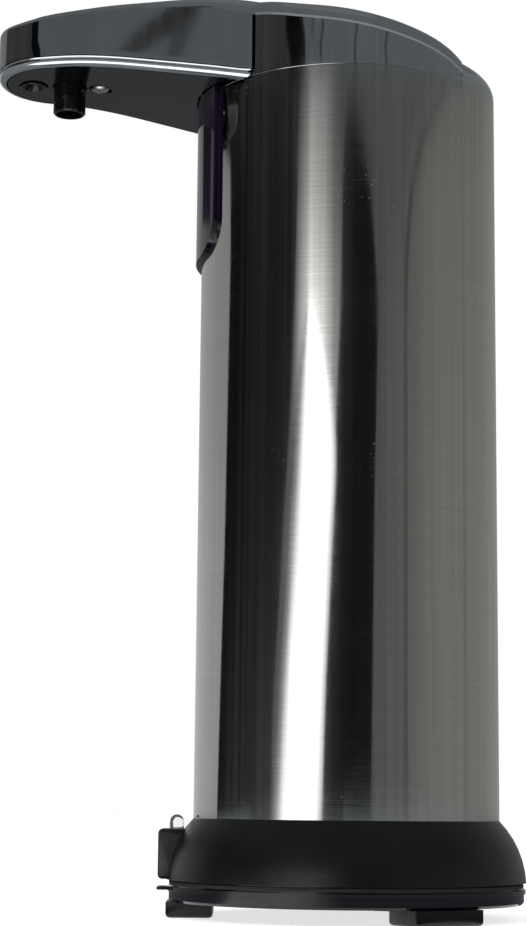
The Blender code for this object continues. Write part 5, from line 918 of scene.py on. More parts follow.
def make_nozzle():
    """The outlet: a bored cylinder with a flange that rests on the plate, and a side port for the soap."""
    low, flange_low, flange_high, high = nozzle_levels()
    flange = NOZZLE_RADIUS + NOZZLE_FLANGE_WIDTH
    roof = high - NOZZLE_ROOF
    profile = [(0, high), (NOZZLE_RADIUS, high), (NOZZLE_RADIUS, flange_high), (flange, flange_high),
               (flange, flange_low), (NOZZLE_RADIUS, flange_low), (NOZZLE_RADIUS, low + SMALL_BEVEL),
               (NOZZLE_RADIUS - SMALL_BEVEL, low), (NOZZLE_BORE, low), (NOZZLE_BORE, roof), (0, roof)]
    nozzle = turned("nozzle", profile, "gloss_black", (-NOZZLE_OFFSET, 0), SMALL_SEGMENTS)
    level = (flange_high + low + NOZZLE_LENGTH - NOZZLE_ROOF) / 2
    reach = NOZZLE_RADIUS + SEAT_GAP
    port = (-NOZZLE_OFFSET + reach * NOZZLE_PORT_WAY[0], reach * NOZZLE_PORT_WAY[1], level)
    cut(nozzle, lying_rod("nozzle_side_port", (roof - flange_high) / 2, (-NOZZLE_OFFSET, 0, level), port))
    lip = low + VALVE_LENGTH
    wide = NOZZLE_BORE - SEAT_GAP
    turned("nozzle_valve", [(0, lip + VALVE_LENGTH / 2), (wide - VALVE_WALL, lip + VALVE_LENGTH),
                            (wide, lip + VALVE_LENGTH), (wide, lip + VALVE_LENGTH / 2), (VALVE_WALL, lip), (0, lip)],
           "soft_silicone", (-NOZZLE_OFFSET, 0), PIN_SEGMENTS)


def highest_plate(offset, radius):
    """Highest point of the underplate's upper face within a radius of a place on the centre line."""
    spots = [-offset - radius + 2 * radius * i / 8 for i in range(9)]
    return max(under_level(x) for x in spots) + UNDERPLATE_THICKNESS


def make_lens():
    """A bezel with a small domed eye set back in it."""
    low = under_level(-LENS_OFFSET) - LENS_PROUD
    flange_low = highest_plate(LENS_OFFSET, LENS_RADIUS + LENS_FLANGE_WIDTH) + SEAT_GAP
    flange = LENS_RADIUS + LENS_FLANGE_WIDTH
    high = flange_low + LENS_FLANGE_THICKNESS
    bezel = LENS_RADIUS - LENS_BEZEL
    floor = low + 3 * LENS_PROUD
    eye = LENS_RADIUS / 2
    dome = [(eye * math.cos(a), floor - LENS_PROUD * math.sin(a)) for a in map(math.radians, (0, 15, 35, 60))]
    profile = [(0, high), (flange, high), (flange, flange_low), (LENS_RADIUS, flange_low),
               (LENS_RADIUS, low + FINE_GAP), (LENS_RADIUS - FINE_GAP, low), (bezel + FINE_GAP, low),
               (bezel, low + FINE_GAP), *dome, (0, floor - LENS_PROUD)]
    turned("spout_lens", profile, "gloss_black", (-LENS_OFFSET, 0), SMALL_SEGMENTS)


def screw_end():
    """Top of the screw's shank, inside the boss."""
    return top_level(-SCREW_OFFSET, 0) - HEAD_WALL - 2 * SCREW_SHANK_RADIUS


def make_underplate_screw():
    """A screw with a crossed slot."""
    seat = under_level(-SCREW_OFFSET) + SCREW_HEAD_THICKNESS - SEAT_GAP
    low = seat - SCREW_HEAD_THICKNESS
    profile = [(0, screw_end()), (SCREW_SHANK_RADIUS, screw_end()), (SCREW_SHANK_RADIUS, seat),
               (SCREW_HEAD_RADIUS, seat), (SCREW_HEAD_RADIUS, low + SMALL_BEVEL),
               (SCREW_HEAD_RADIUS - SMALL_BEVEL, low), (0, low)]
    screw = turned("underplate_screw", profile, "spring_steel", (-SCREW_OFFSET, 0), PIN_SEGMENTS)
    slots = {"long": (SCREW_SLOT_REACH, SCREW_SLOT_HALF), "cross": (SCREW_SLOT_HALF, SCREW_SLOT_REACH)}
    for name, (along, across) in slots.items():
        cut(screw, box("screw_slot_" + name, -SCREW_OFFSET - along, -SCREW_OFFSET + along, across, low - OVERRUN,
                       low + SCREW_HEAD_THICKNESS / 2))


def ceiling(x, y, radius):
    """Level of the room above a flange of a given radius, under the hood."""
    angles = [2 * math.pi * i / 16 for i in range(16)]
    spots = [(x + radius * math.cos(a), y + radius * math.sin(a)) for a in angles]
    return min(top_level(*spot) + drop(spot[0]) for spot in spots) - HEAD_WALL


def button_flange_top():
    return ceiling(-BUTTON_OFFSET, BUTTON_SPACING / 2, BUTTON_RADIUS + BUTTON_FLANGE_WIDTH) - SEAT_GAP


def switch_top():
    return button_flange_top() - BUTTON_FLANGE_THICKNESS - BUTTON_TRAVEL - SEAT_GAP


def board_level():
    """Underside of the control board."""
    return switch_top() - SWITCH_HEIGHT - SEAT_GAP - BOARD_THICKNESS


def board_middle():
    return BUTTON_OFFSET + SWITCH_SIZE / 2


def make_buttons():
    """Two dished caps, whose flanges lie in rooms under the hood."""
    flange_top = button_flange_top()
    flange = BUTTON_RADIUS + BUTTON_FLANGE_WIDTH
    flange_low = flange_top - BUTTON_FLANGE_THICKNESS
    dish = BUTTON_RADIUS * BUTTON_DISH_SHARE
    for label, side in (("plus", -1), ("minus", 1)):
        spot = (-BUTTON_OFFSET, side * BUTTON_SPACING / 2)
        top = top_level(*spot) + BUTTON_PROUD
        profile = [(0, top - BUTTON_DISH_DEPTH), (dish / 2, top - BUTTON_DISH_DEPTH * 0.75), (dish, top),
                   (BUTTON_RADIUS - SMALL_BEVEL, top), (BUTTON_RADIUS, top - SMALL_BEVEL),
                   (BUTTON_RADIUS, flange_top), (flange, flange_top), (flange, flange_low), (0, flange_low)]
        turned(label + "_button", profile, "gloss_black", spot, SMALL_SEGMENTS)


def make_light():
    """The light's short guide, from the board up to the hood's top."""
    flange = LIGHT_RADIUS + LIGHT_FLANGE_WIDTH
    flange_top = ceiling(-LIGHT_OFFSET, 0, flange) - SEAT_GAP
    flange_low = flange_top - LIGHT_FLANGE_THICKNESS
    low = board_level() + BOARD_THICKNESS + SEAT_GAP
    top = top_level(-LIGHT_OFFSET, 0)
    profile = [(0, top), (LIGHT_RADIUS, top - FINE_GAP), (LIGHT_RADIUS, flange_top), (flange, flange_top),
               (flange, flange_low), (LIGHT_RADIUS, flange_low), (LIGHT_RADIUS, low), (0, low)]
    turned("status_lens", profile, "clear_plastic", (-LIGHT_OFFSET, 0), PIN_SEGMENTS)


def make_filler_lid():
    """The lid follows the hood's crown, with a skirt below, a hinge arm behind and a ridge for the thumb."""
    def under(x, y):
        return top_level(x, y) - LID_THICKNESS

    def skirt_low(x, y):
        return under(x, y) - LID_SKIRT_HEIGHT

    lid = surface_solid("filler_lid", circle_plan(LID_RADIUS, NECK_OFFSET), under, top_level, "chrome", TOP_STRIPS)
    skirt_outer = LID_RADIUS - LID_SKIRT_INSET
    join(lid, surface_solid("lid_skirt", circle_plan(skirt_outer, NECK_OFFSET), skirt_low,
                            lambda x, y: under(x, y) + LID_THICKNESS / 2))
    cut(lid, surface_solid("lid_hollow", circle_plan(skirt_outer - LID_SKIRT_WALL, NECK_OFFSET),
                           lambda x, y: skirt_low(x, y) - OVERRUN, under))
    hinge = hinge_place()
    half = HINGE_ARM_WIDTH / 2
    ridge_x = NECK_OFFSET - LID_RADIUS + LID_THUMB_INSET
    join(lid,
         surface_solid("hinge_arm", oblong_plan(NECK_OFFSET + LID_RADIUS - OVERRUN, hinge[0], half, 3),
                       lambda x, y: under(x, 0), lambda x, y: top_level(x, 0) - FINE_GAP),
         crosswise("lid_knuckle", HINGE_KNUCKLE_RADIUS, hinge[0], half, hinge[2]),
         crosswise("thumb_ridge", LID_THUMB_RADIUS, ridge_x, LID_THUMB_LENGTH / 2, top_level(ridge_x, 0)))
    cut(lid, crosswise("lid_pin_hole", HINGE_PIN_RADIUS + RUNNING_GAP, hinge[0], DRUM_RADIUS, hinge[2]))


# Materials

class Graph:
    """A short way to write a material's nodes."""

    def __init__(self, name):
        self.material = bpy.data.materials.new(name)
        self.material.use_nodes = True
        self.tree = self.material.node_tree
        self.shader = self.tree.nodes["Principled BSDF"]
        self.place = self.node("ShaderNodeTexCoord").outputs["Object"]

    def node(self, kind, inputs=None, **settings):
        """A new node, with its settings and what goes into its sockets."""
        made = self.tree.nodes.new(kind)
        for key, value in settings.items():
            setattr(made, key, value)
        for key, value in (inputs or {}).items():
            self.link(value, made.inputs[key])
        return made

    def link(self, value, socket):
        if isinstance(value, bpy.types.NodeSocket):
            self.tree.links.new(value, socket)
        else:
            socket.default_value = value

    def set(self, **values):
        """Sets the shader's sockets, with _ for a space in their names."""
        for key, value in values.items():
            self.link(value, self.shader.inputs[key.replace("_", " ")])

    def stretched(self, scale):
        """The place, scaled along each axis."""
        return self.node("ShaderNodeMapping", {"Vector": self.place, "Scale": scale}).outputs["Vector"]

    def noise(self, scale, detail=2.0, rough=0.5, vector=None):
        inputs = {"Vector": self.place if vector is None else vector, "Scale": scale, "Detail": detail,
                  "Roughness": rough}
        return self.node("ShaderNodeTexNoise", inputs).outputs["Fac"]

    def math(self, operation, a, b):
        return self.node("ShaderNodeMath", {0: a, 1: b}, operation=operation).outputs["Value"]

    def fit(self, value, low, high, new_low, new_high):
        """The value, moved from one range to another and held within it."""
        inputs = {"Value": value, "From Min": low, "From Max": high, "To Min": new_low, "To Max": new_high}
        return self.node("ShaderNodeMapRange", inputs).outputs["Result"]

    def blend(self, share, *colours):
        """A mix of two colours."""
        first, second = [(*value, 1.0) if isinstance(value, tuple) else value for value in colours]
        return self.node("ShaderNodeMix", {"Factor": share, "A": first, "B": second},
                         data_type="RGBA").outputs["Result"]

    def bump(self, height, depth):
        made = self.node("ShaderNodeBump", {"Strength": 1.0, "Distance": depth, "Height": height})
        self.link(made.outputs["Normal"], self.shader.inputs["Normal"])


def steel():
    """Polished steel with fine hairlines round the tube, drawn streaks along it, dust specks and a few scuffs."""
    graph = Graph("polished_steel")
    hair = graph.noise(1.0, 3.0, 0.6, graph.stretched((40, 40, 4200)))
    streaks = graph.noise(1.0, 2.0, 0.5, graph.stretched((900, 900, 12)))
    smudge = graph.noise(45.0, 4.0, 0.6)
    specks = graph.math("MULTIPLY", graph.fit(graph.noise(2600.0, 1.0, 0.5), 0.72, 0.80, 0.0, 0.5),
                        graph.fit(graph.noise(38.0, 2.0, 0.5), 0.58, 0.66, 0.0, 1.0))
    rough = graph.math("ADD", graph.fit(hair, 0.3, 0.7, 0.045, 0.08), graph.fit(smudge, 0.45, 0.75, 0.0, 0.05))
    tint = graph.blend(graph.fit(streaks, 0.35, 0.65, 0, 1), (0.545, 0.553, 0.545), (0.600, 0.598, 0.585))
    tint = graph.blend(graph.fit(hair, 0.30, 0.70, 0.16, 0.0), tint, (0.20, 0.21, 0.21))
    graph.set(Base_Color=tint, Metallic=graph.math("SUBTRACT", 1.0, specks), Roughness=rough)
    graph.bump(hair, 0.0000012)
    return graph.material


def chrome():
    """Chrome on moulded plastic: a long soft waviness and faint wipe marks."""
    graph = Graph("chromed_plastic")
    wave = graph.noise(28.0, 1.0, 0.4)
    wipe = graph.noise(1.0, 4.0, 0.6, graph.stretched((260, 60, 90)))
    graph.set(Base_Color=graph.blend(graph.fit(wipe, 0.3, 0.7, 0, 1), (0.55, 0.57, 0.59), (0.60, 0.62, 0.64)),
              Metallic=1.0, Roughness=graph.fit(wipe, 0.35, 0.75, 0.03, 0.07))
    graph.bump(wave, 0.00006)
    return graph.material


def plastic(name, dark, light, grain, depth, low_rough, high_rough, **more):
    """A moulded plastic with a fine grain in colour, roughness and height."""
    graph = Graph(name)
    fine = graph.noise(grain, 3.0, 0.6)
    broad = graph.noise(grain / 30, 3.0, 0.6)
    graph.set(Base_Color=graph.blend(graph.fit(broad, 0.3, 0.7, 0, 1), dark, light),
              Roughness=graph.math("ADD", graph.fit(fine, 0.3, 0.7, low_rough, high_rough),
                                   graph.fit(broad, 0.5, 0.8, 0.0, 0.04)), **more)
    graph.bump(fine, depth)
    return graph.material


def metal(name, dark, light, low_rough, high_rough):
    graph = Graph(name)
    brushed = graph.noise(1.0, 4.0, 0.6, graph.stretched((400, 400, 400)))
    graph.set(Base_Color=graph.blend(graph.fit(brushed, 0.3, 0.7, 0, 1), dark, light), Metallic=1.0,
              Roughness=graph.fit(brushed, 0.3, 0.7, low_rough, high_rough))
    graph.bump(brushed, 0.000002)
    return graph.material


def violet_window():
    """Dark violet acrylic, a little uneven in depth of colour."""
    graph = Graph("violet_acrylic")
    cloud = graph.noise(1.0, 3.0, 0.5, graph.stretched((1100, 1100, 12)))
    graph.set(Base_Color=graph.blend(graph.fit(cloud, 0.4, 0.7, 0, 1), (0.003, 0.002, 0.005), (0.018, 0.007, 0.032)),
              Roughness=graph.fit(cloud, 0.3, 0.7, 0.04, 0.09), IOR=1.49)
    graph.bump(graph.noise(30.0, 1.0), 0.00003)
    return graph.material


def board():
    """A green circuit board with paler copper areas under its lacquer."""
    graph = Graph("circuit_board")
    cells = graph.node("ShaderNodeTexVoronoi", {"Vector": graph.stretched((420, 420, 420))}, feature="F1",
                       distance="CHEBYCHEV")
    tracks = graph.fit(cells.outputs["Distance"], 0.30, 0.34, 0, 1)
    graph.set(Base_Color=graph.blend(tracks, (0.03, 0.22, 0.09), (0.01, 0.12, 0.05)),
              Roughness=graph.fit(graph.noise(900.0), 0.3, 0.7, 0.25, 0.40))
    graph.bump(tracks, 0.00003)
    return graph.material


def cell_wrap():
    """A printed-over plastic sleeve in plain dark blue with a bright band at one end."""
    graph = Graph("battery_sleeve")
    axes = graph.node("ShaderNodeSeparateXYZ", {"Vector": graph.place})
    edge = AXIS_SHIFT + CELL_BAND_PLACE
    past = graph.fit(axes.outputs["X"], edge, edge + CELL_BAND_BLUR, 0, 1)
    shade = graph.blend(past, (0.03, 0.05, 0.10), (0.45, 0.30, 0.10))
    graph.set(Base_Color=shade, Metallic=0.3, Roughness=graph.fit(graph.noise(700.0), 0.3, 0.7, 0.25, 0.35))
    graph.bump(graph.noise(120.0), 0.00002)
    return graph.material


# Each plastic: its darkest and lightest colour, the grain's scale and depth, the roughness, and other sockets
PLASTICS = {
    "gloss_black": ((0.0035, 0.0042, 0.0055), (0.007, 0.008, 0.010), 500, 0.000002, 0.07, 0.12,
                    {"Specular_IOR_Level": 0.36}),
    "satin_black": ((0.0015, 0.0024, 0.0036), (0.0035, 0.0046, 0.0062), 2600, 0.00004, 0.28, 0.38,
                    {"Specular_IOR_Level": 0.40}),
    "black_rubber": ((0.012, 0.012, 0.012), (0.022, 0.022, 0.022), 1500, 0.00003, 0.65, 0.80, {}),
    "clear_plastic": ((0.88, 0.90, 0.90), (0.95, 0.96, 0.96), 300, 0.00001, 0.05, 0.10,
                      {"Transmission_Weight": 0.92, "IOR": 1.49}),
    "frosted_plastic": ((0.70, 0.74, 0.75), (0.80, 0.83, 0.84), 900, 0.00002, 0.35, 0.45,
                        {"Transmission_Weight": 0.35, "IOR": 1.50}),
    "grey_plastic": ((0.16, 0.16, 0.17), (0.22, 0.22, 0.23), 1800, 0.00003, 0.45, 0.55, {}),
    "white_plastic": ((0.72, 0.72, 0.70), (0.80, 0.80, 0.78), 1500, 0.00002, 0.35, 0.45, {}),
    "red_wire": ((0.38, 0.015, 0.012), (0.48, 0.025, 0.02), 900, 0.00001, 0.40, 0.50, {}),
    "black_wire": ((0.012, 0.012, 0.012), (0.022, 0.022, 0.022), 900, 0.00001, 0.40, 0.50, {}),
    "soft_silicone": ((0.66, 0.66, 0.62), (0.75, 0.75, 0.71), 900, 0.00002, 0.50, 0.60, {}),
}


def all_materials():
    """One material for each of the record's slots."""
    materials = {name: plastic(name, *values[:-1], **values[-1]) for name, values in PLASTICS.items()}
    materials.update(
        steel=steel(), chrome=chrome(), violet_window=violet_window(), cell_wrap=cell_wrap(), green_board=board(),
        spring_steel=metal("spring_steel", (0.50, 0.50, 0.49), (0.64, 0.64, 0.62), 0.22, 0.34),
        brass=metal("brass", (0.60, 0.42, 0.18), (0.74, 0.55, 0.27), 0.22, 0.34))
    return materials


# Pieces

def settle(obj):
    """Apply a piece's modifiers and its place, so that its mesh lies in the row frame."""
    graph = bpy.context.evaluated_depsgraph_get()
    mesh = bpy.data.meshes.new_from_object(obj.evaluated_get(graph))
    mesh.transform(obj.matrix_world)
    mesh.name = obj.name
    obj.modifiers.clear()
    obj.data = mesh
    obj.matrix_world = Matrix.Identity(4)
    mesh.shade_smooth()
    mesh.set_sharp_from_angle(angle=SHARP_ANGLE)


MAKERS = (make_base_ring, make_latch_pin, make_battery_cover, make_feet, make_body_tube, make_sensor_window,
          make_head_shell, make_head_collar, make_rear_shoulder, make_spout_trim, make_underplate, make_nozzle,
          make_lens, make_underplate_screw, make_buttons, make_light, make_filler_lid)


def paint(obj, material):
    obj.data.materials.clear()
    obj.data.materials.append(material)


def dress(materials):
    """Builds the fine pieces, hangs each on its node's body and gives every node its material."""
    record = frame["record"]
    slots = {row["node"]: row["material_slot"] for row in record["subparts"]}
    bodies = {node: body for body, nodes in record["behaviour"]["bodies"].items() for node in nodes}
    for make in MAKERS:
        make()
    bpy.context.view_layer.update()
    fine = [obj for obj in SHAPES.objects if not obj["cutter"]]
    for obj in fine:
        settle(obj)
    for obj in [obj for obj in SHAPES.objects if obj["cutter"]]:
        bpy.data.objects.remove(obj, do_unlink=True)
    for obj in fine:
        node = obj.name[len("fine_"):]
        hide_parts(node)
        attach(obj, bodies[node])
        paint(obj, materials[slots[node]])
    for node, obj in frame["nodes"].items():
        paint(obj, materials[slots[node]])


# Studio

def glow(name, tint, streaks=0.0):
    """An emission at the strength of each point's level, with upright streaks where asked."""
    graph = Graph(name)
    level = graph.node("ShaderNodeAttribute", attribute_name="level").outputs["Fac"]
    lines = graph.noise(1.0, 2.0, 0.5, graph.stretched((6, 6, 0.1)))
    strength = graph.math("MULTIPLY", level, graph.fit(lines, 0.3, 0.7, 1 - streaks, 1 + streaks))
    emission = graph.node("ShaderNodeEmission", {"Color": (*tint, 1), "Strength": strength})
    graph.link(emission.outputs["Emission"], graph.tree.nodes["Material Output"].inputs["Surface"])
    return graph.material


def reflected_only(obj):
    """A studio panel that shows in reflections and nowhere else."""
    obj.visible_camera = False
    obj.visible_diffuse = False
    obj.visible_transmission = False
    obj.visible_shadow = False
    obj.visible_volume_scatter = False


def wall_point(azimuth, elevation, radius):
    """A place on a studio cylinder. Azimuth is in degrees from the camera's side towards the rear of the object."""
    a = math.radians(azimuth)
    level = STUDIO_LEVEL + radius * math.tan(math.radians(elevation))
    return (AXIS_SHIFT + radius * math.sin(a), -radius * math.cos(a), level)


def in_scene(name, data):
    obj = bpy.data.objects.new(name, data)
    bpy.context.scene.collection.objects.link(obj)
    return obj


def panel(name, grid, levels, tint, streaks):
    """A reflected panel from rows of points and a level for each point."""
    columns = len(grid[0])
    points = [point for row in grid for point in row]
    faces = []
    for r in range(len(grid) - 1):
        a = r * columns
        faces += [(a + i, a + i + 1, a + i + 1 + columns, a + i + columns) for i in range(columns - 1)]
    mesh = bpy.data.meshes.new(name)
    mesh.from_pydata(points, [], faces)
    values = mesh.attributes.new("level", "FLOAT", "POINT").data
    for index, level in enumerate(levels):
        values[index].value = level
    mesh.materials.append(glow(name, tint, streaks))
    reflected_only(in_scene(name, mesh))


def spread(stops, share):
    """The value of evenly spaced stops at a share of the way along them."""
    place = share * (len(stops) - 1)
    i = min(int(place), len(stops) - 2)
    return stops[i] + (stops[i + 1] - stops[i]) * (place - i)


def card(name, rows, stops, tint=(1, 1, 1), streaks=0.0, radius=CARD_RADIUS):
    """A bowed studio panel. Each row is (elevation, left azimuth, right azimuth, share of the brightness)."""
    columns = CARD_COLUMNS
    grid = []
    levels = []
    for elevation, left, right, share in rows:
        grid.append([wall_point(left + (right - left) * i / columns, elevation, radius) for i in range(columns + 1)])
        levels += [share * spread(stops, i / columns) for i in range(columns + 1)]
    panel(name, grid, levels, tint, streaks)


def floor_card(name, inner, outer, left, right, stops, tint=(1, 1, 1), lift=0.0):
    """A flat ring or sector just above the floor, as the polished and glossy faces mirror it."""
    columns = CARD_COLUMNS
    angles = [math.radians(left + (right - left) * i / columns) for i in range(columns + 1)]
    grid = [[(AXIS_SHIFT + radius * math.sin(a), -radius * math.cos(a), FLOOR_CARD_LEVEL + lift) for a in angles]
            for radius in (inner, outer)]
    panel(name, grid, [spread(stops, i / columns) for _ in grid for i in range(columns + 1)], tint, 0.0)


def all_round(*elevations):
    return [(elevation, -180, 180, 1) for elevation in elevations]


# The light and dark panels that the polished metal mirrors: rows, brightness from left to right, tint, streaks
CARDS = {
    "left_far": ([(-6, -179, -117, 1.05), (1, -179, -113, 1.03), (4, -179, -110.5, 1), (6.5, -179, -109, 0.95),
                  (11, -179, -107.5, 0.82), (15.5, -179, -106, 0.76), (18.2, -179, -107.5, 0.74),
                  (18.7, -179, -118, 0.7), (20.9, -179, -126, 0.6)],
                 (0.56, 0.53, 0.44), (0.97, 1.0, 0.98), 0.03),
    "left_flag": ([(-6, -117, -61, 2.2), (1, -113, -59, 1.8), (6.5, -109, -52, 1.2), (11, -107.5, -46, 1),
                   (15.5, -106, -43, 1), (18.2, -107.5, -42, 1.2), (18.7, -118, -42, 1.3), (20.9, -126, -41, 1.5)],
                  (0.006, 0.010, 0.020, 0.021, 0.017, 0.024, 0.034), (0.95, 1.0, 1.0), 0.5),
    "sheen": ([(10, -45, -7, 2.6), (13.6, -44, -7, 2.4), (15.5, -44, -7, 1.7), (17.4, -44, -7, 1.1),
               (19.3, -43, -7, 0.8), (20.9, -41, -5, 0.6)],
              (0.05, 0.30, 0.66, 0.54, 0.38, 0.20, 0.12), (1, 1, 0.98), 0.1),
    "centre_flag": ([(-6, -21, 14, 1), (0, -19, 16, 1), (8, -13, 17.5, 1), (11, -11, 19, 1), (14, -8, 20, 1),
                     (17.4, -7, 14, 1), (19.3, -6, 6, 1.2), (20.2, -3, -2, 2.5)],
                    (0.05, 0.022, 0.012, 0.012, 0.015), (0.9, 1.0, 1.05), 0.2),
    "right_panel": ([(-6, 14, 40, 1), (8, 17.5, 40, 1), (11, 19, 40, 1), (14, 20, 40, 0.95), (17.4, 14, 42, 0.8),
                     (19.3, 6, 48, 0.8), (20.2, -4, 60, 0.82), (20.9, -5, 70, 0.85)],
                    (0.13, 0.16, 0.15), (0.97, 1.0, 0.98), 0.1),
    "warm_panel": ([(-6, 40, 179, 1), (8, 40, 179, 0.95), (17.4, 40, 179, 0.84), (20.4, 60, 179, 0.76)],
                   (0.17, 0.25, 0.27, 0.27, 0.31, 0.32, 0.32), (1.02, 1.0, 0.96), 0.05),
    "upper_far": ([(20.9, -179, -120, 1), (34, -179, -120, 1)], (0.24, 0.20), (0.95, 1.0, 1.0), 0.0),
    "upper_brown": ([(20.9, -120, -47, 1), (22, -120, -53, 1), (34, -120, -57, 1)],
                    (0.06, 0.05, 0.045), (1.03, 0.99, 0.97), 0.25),
    "upper_stripe": ([(20.9, -47, -36, 1), (22, -53, -37, 1), (23, -55, -41, 1), (34, -57, -43, 1)],
                     (0.004, 0.004), (1, 1, 1), 0.0),
    "upper_grey": ([(20.9, -36, 97, 1), (22, -37, 97, 1), (23, -41, 97, 1), (34, -43, 97, 1)],
                   (0.13, 0.15, 0.15, 0.17), (0.90, 0.98, 1.04), 0.06),
    "upper_right": ([(20.4, 97, 179, 1), (34, 97, 179, 1)], (0.20, 0.24), (0.94, 1.0, 1.0), 0.0),
}

# Panels that stand just in front of the others: rows and brightness
FRONT_CARDS = {
    "wedge": ([(-11.5, -66, -22, 2.5), (-6, -63, -21, 2.5), (-3, -60.5, -20.6, 1.5), (-2, -60, -20.5, 1),
               (2, -55, -18, 1), (6.5, -48, -13.5, 1), (9, -45, -10.5, 1), (11, -42, -13.5, 1),
               (12.4, -38, -20, 1.2), (13.6, -34, -28.5, 1.2)], BRIGHT_STOPS),
    "left_gap": ([(16.5, -146, -131, 1), (20.9, -148, -130, 1)], (0.03, 0.03)),
}

# Thin dark lines in the reflections, painted dark reflections that show as dark streaks on the polished metal
LINES = {
    "line_at_the_rim": [(-6, 25, 25.8, 1), (20.9, 25, 25.8, 1)],
    "line_far_right": [(-6, 95, 97, 2), (20.4, 96, 98, 2)],
    "slanted_line": [(-6, 40, 43, 1.2), (13, 40, 43, 1.1), (15.5, 41, 44, 0.8), (17.4, 45, 48.5, 0.7),
                     (18.9, 54, 58, 0.7), (19.8, 66, 71, 0.7), (20.4, 76, 82, 0.7)],
    # These two draw a painted dark reflection, a thin branching dark streak, on the head's chrome
    "smudge": [(22, -32.0, -31.2, 0.5), (25, -31.6, -30.6, 0.4), (28, -31.1, -30.1, 0.3), (31, -30.7, -29.6, 0.3),
               (36, -30.4, -29.2, 0.3), (44, -30.1, -28.7, 0.5)],
    "smudge_branch": [(22, -30.4, -29.9, 0.6), (26, -30.4, -29.8, 0.5), (31, -30.0, -29.4, 0.5),
                      (36, -29.5, -29.1, 0.5)],
}
UPPER_LINES = (-24, 2, 26)
UPPER_LINE_ROWS = ((21.0, 0, 1.2), (21.6, -1.5, 0), (22.2, 0.5, 2), (23.0, 0, 1.5), (30, 0, 1))
UPPER_LINE_SHARE = 0.5
LINE_STOPS = (0.10, 0.10)

# What the floor shows in reflections: radii, azimuths, brightness, tint, lift
FLOOR_CARDS = {
    "grey_floor": (FLOOR_CARD_INNER, CARD_RADIUS, -5, 283, (0.28, 0.30, 0.28, 0.20, 0.17, 0.18, 0.25, 0.28),
                   (0.94, 1.0, 1.04)),
    "grey_floor_front": (FLOOR_CARD_REACH, CARD_RADIUS, -77, -5, (0.15, 0.15), (0.95, 1.0, 1.0)),
    "dark_floor": (FLOOR_CARD_NEAR, FLOOR_CARD_INNER, -5, 283, (0.13, 0.13), (0.92, 1, 1.1)),
    "contact_shade": (CONTACT_RADIUS, FLOOR_CARD_NEAR, -180, 180, (0.10, 0.10), (0.92, 1, 1.1)),
    "mid_floor": (FLOOR_CARD_INNER * 2.2, 0.5, -77, 110, (0.34, 0.34, 0.34, 0.34, 0.32, 0.27, 0.22),
                  (0.95, 1.0, 1.0), FLOOR_CARD_LIFT),
    "far_bright_floor": (0.6, CARD_RADIUS, -62, -21, BRIGHT_STOPS, (1, 1, 1), FLOOR_CARD_LIFT),
    "bright_floor": (FLOOR_CARD_NEAR, FLOOR_CARD_REACH, -77, -5, (0.1, 2.2, 2.0, 2.0, 2.0, 1.9, 1.4, 0.7, 0.2)),
}


def make_surround():
    """A dim round studio with its panels."""
    card("surround", all_round(-12, 10, 40, 72), (0.16, 0.16), (0.92, 0.98, 1.0), radius=WALL_RADIUS)
    card("ceiling", all_round(72, 89.9), (0.20, 0.20), (0.92, 0.98, 1.0), radius=WALL_RADIUS)
    for name, values in CARDS.items():
        card(name, *values)
    for name, (rows, stops) in FRONT_CARDS.items():
        card(name, rows, stops, radius=FRONT_CARD_RADIUS)
    lines = dict(LINES)
    for index, azimuth in enumerate(UPPER_LINES):
        lines["upper_line_%d" % index] = [(elevation, azimuth + left, azimuth + right, UPPER_LINE_SHARE)
                                          for elevation, left, right in UPPER_LINE_ROWS]
    for name, rows in lines.items():
        card(name, rows, LINE_STOPS, radius=FRONT_CARD_RADIUS)
    for name, values in FLOOR_CARDS.items():
        floor_card(name, *values)


def seen(tree):
    """One for camera, glossy and transmission rays, and zero for the others."""
    path = tree.nodes.new("ShaderNodeLightPath")
    share = path.outputs["Is Camera Ray"]
    for kind in ("Is Glossy Ray", "Is Transmission Ray"):
        larger = tree.nodes.new("ShaderNodeMath")
        larger.operation = "MAXIMUM"
        tree.links.new(share, larger.inputs[0])
        tree.links.new(path.outputs[kind], larger.inputs[1])
        share = larger.outputs["Value"]
    return share


def make_floor():
    """A pale floor that runs into the white behind it and keeps the object's shadow."""
    mesh = bpy.data.meshes.new("floor")
    mesh.from_pydata([(FLOOR_REACH * x, FLOOR_REACH * y, 0) for x, y in ((-1, -1), (1, -1), (1, 1), (-1, 1))], [],
                     [(0, 1, 2, 3)])
    graph = Graph("pale_floor")
    graph.set(Base_Color=graph.blend(graph.fit(graph.noise(3.0), 0.4, 0.6, 0, 1), (0.48, 0.48, 0.48),
                                     (0.50, 0.50, 0.50)), Roughness=0.9, Specular_IOR_Level=0.0,
              Emission_Color=(1, 1, 1, 1), Emission_Strength=graph.math("MULTIPLY", seen(graph.tree), FLOOR_GLOW))
    mesh.materials.append(graph.material)
    in_scene("floor", mesh)


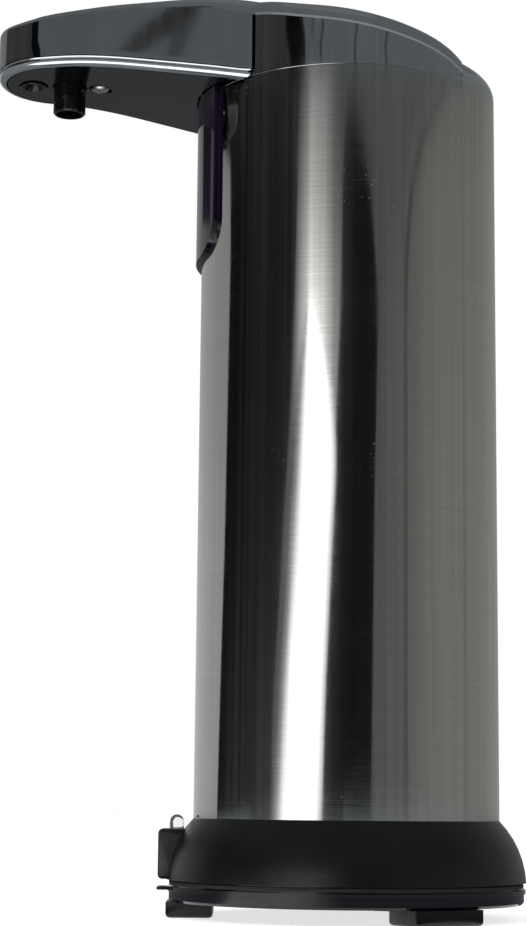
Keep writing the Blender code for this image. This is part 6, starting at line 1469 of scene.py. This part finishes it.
def make_world():
    """White behind the object, and a soft even light on it."""
    world = bpy.data.worlds.new("studio")
    world.use_nodes = True
    tree = world.node_tree
    back = tree.nodes["Background"]
    level = tree.nodes.new("ShaderNodeMapRange")
    level.inputs["To Min"].default_value = ROOM_LIGHT
    level.inputs["To Max"].default_value = 1.0
    tree.links.new(seen(tree), level.inputs["Value"])
    back.inputs["Color"].default_value = (1, 1, 1, 1)
    tree.links.new(level.outputs["Result"], back.inputs["Strength"])
    bpy.context.scene.world = world


# Soft lamps: place, height of what they point at, size and power
LAMPS = {"key": ((-0.9, -1.0, 1.1), 0.10, 1.2, 14), "fill": ((1.1, -0.7, 0.7), 0.08, 1.2, 7)}


def lamp(name, location, level, size, power):
    light = bpy.data.lights.new(name, "AREA")
    light.size = size
    light.energy = power
    obj = in_scene(name, light)
    obj.location = location
    obj.rotation_euler = (Vector((AXIS_SHIFT, 0, level)) - Vector(location)).to_track_quat("-Z", "Y").to_euler()
    obj.visible_glossy = False


def make_camera():
    """The camera at the photograph's place."""
    forward = Vector((math.sin(CAMERA_YAW) * math.cos(CAMERA_PITCH), math.cos(CAMERA_YAW) * math.cos(CAMERA_PITCH),
                      math.sin(CAMERA_PITCH)))
    right = Vector((math.cos(CAMERA_YAW), -math.sin(CAMERA_YAW), 0))
    up = right.cross(forward)
    across = math.cos(CAMERA_ROLL) * right + math.sin(CAMERA_ROLL) * up
    upward = math.cos(CAMERA_ROLL) * up - math.sin(CAMERA_ROLL) * right
    data = bpy.data.cameras.new("camera")
    data.sensor_fit = "AUTO"
    data.sensor_width = SENSOR
    data.lens = FOCAL_PIXELS * SENSOR / PICTURE_HEIGHT
    data.clip_start = 0.01
    data.clip_end = 50
    camera = in_scene("camera", data)
    turn = Matrix((across, upward, -forward)).transposed().to_4x4()
    camera.matrix_world = Matrix.Translation((AXIS_SHIFT - CAMERA_DISTANCE * math.sin(CAMERA_SIDE),
                                              -CAMERA_DISTANCE * math.cos(CAMERA_SIDE), CAMERA_HEIGHT)) @ turn
    bpy.context.scene.camera = camera


def main():
    dress(all_materials())
    make_surround()
    make_floor()
    make_world()
    for name, values in LAMPS.items():
        lamp(name, *values)
    make_camera()
    bpy.context.scene.view_settings.view_transform = "Standard"


main()
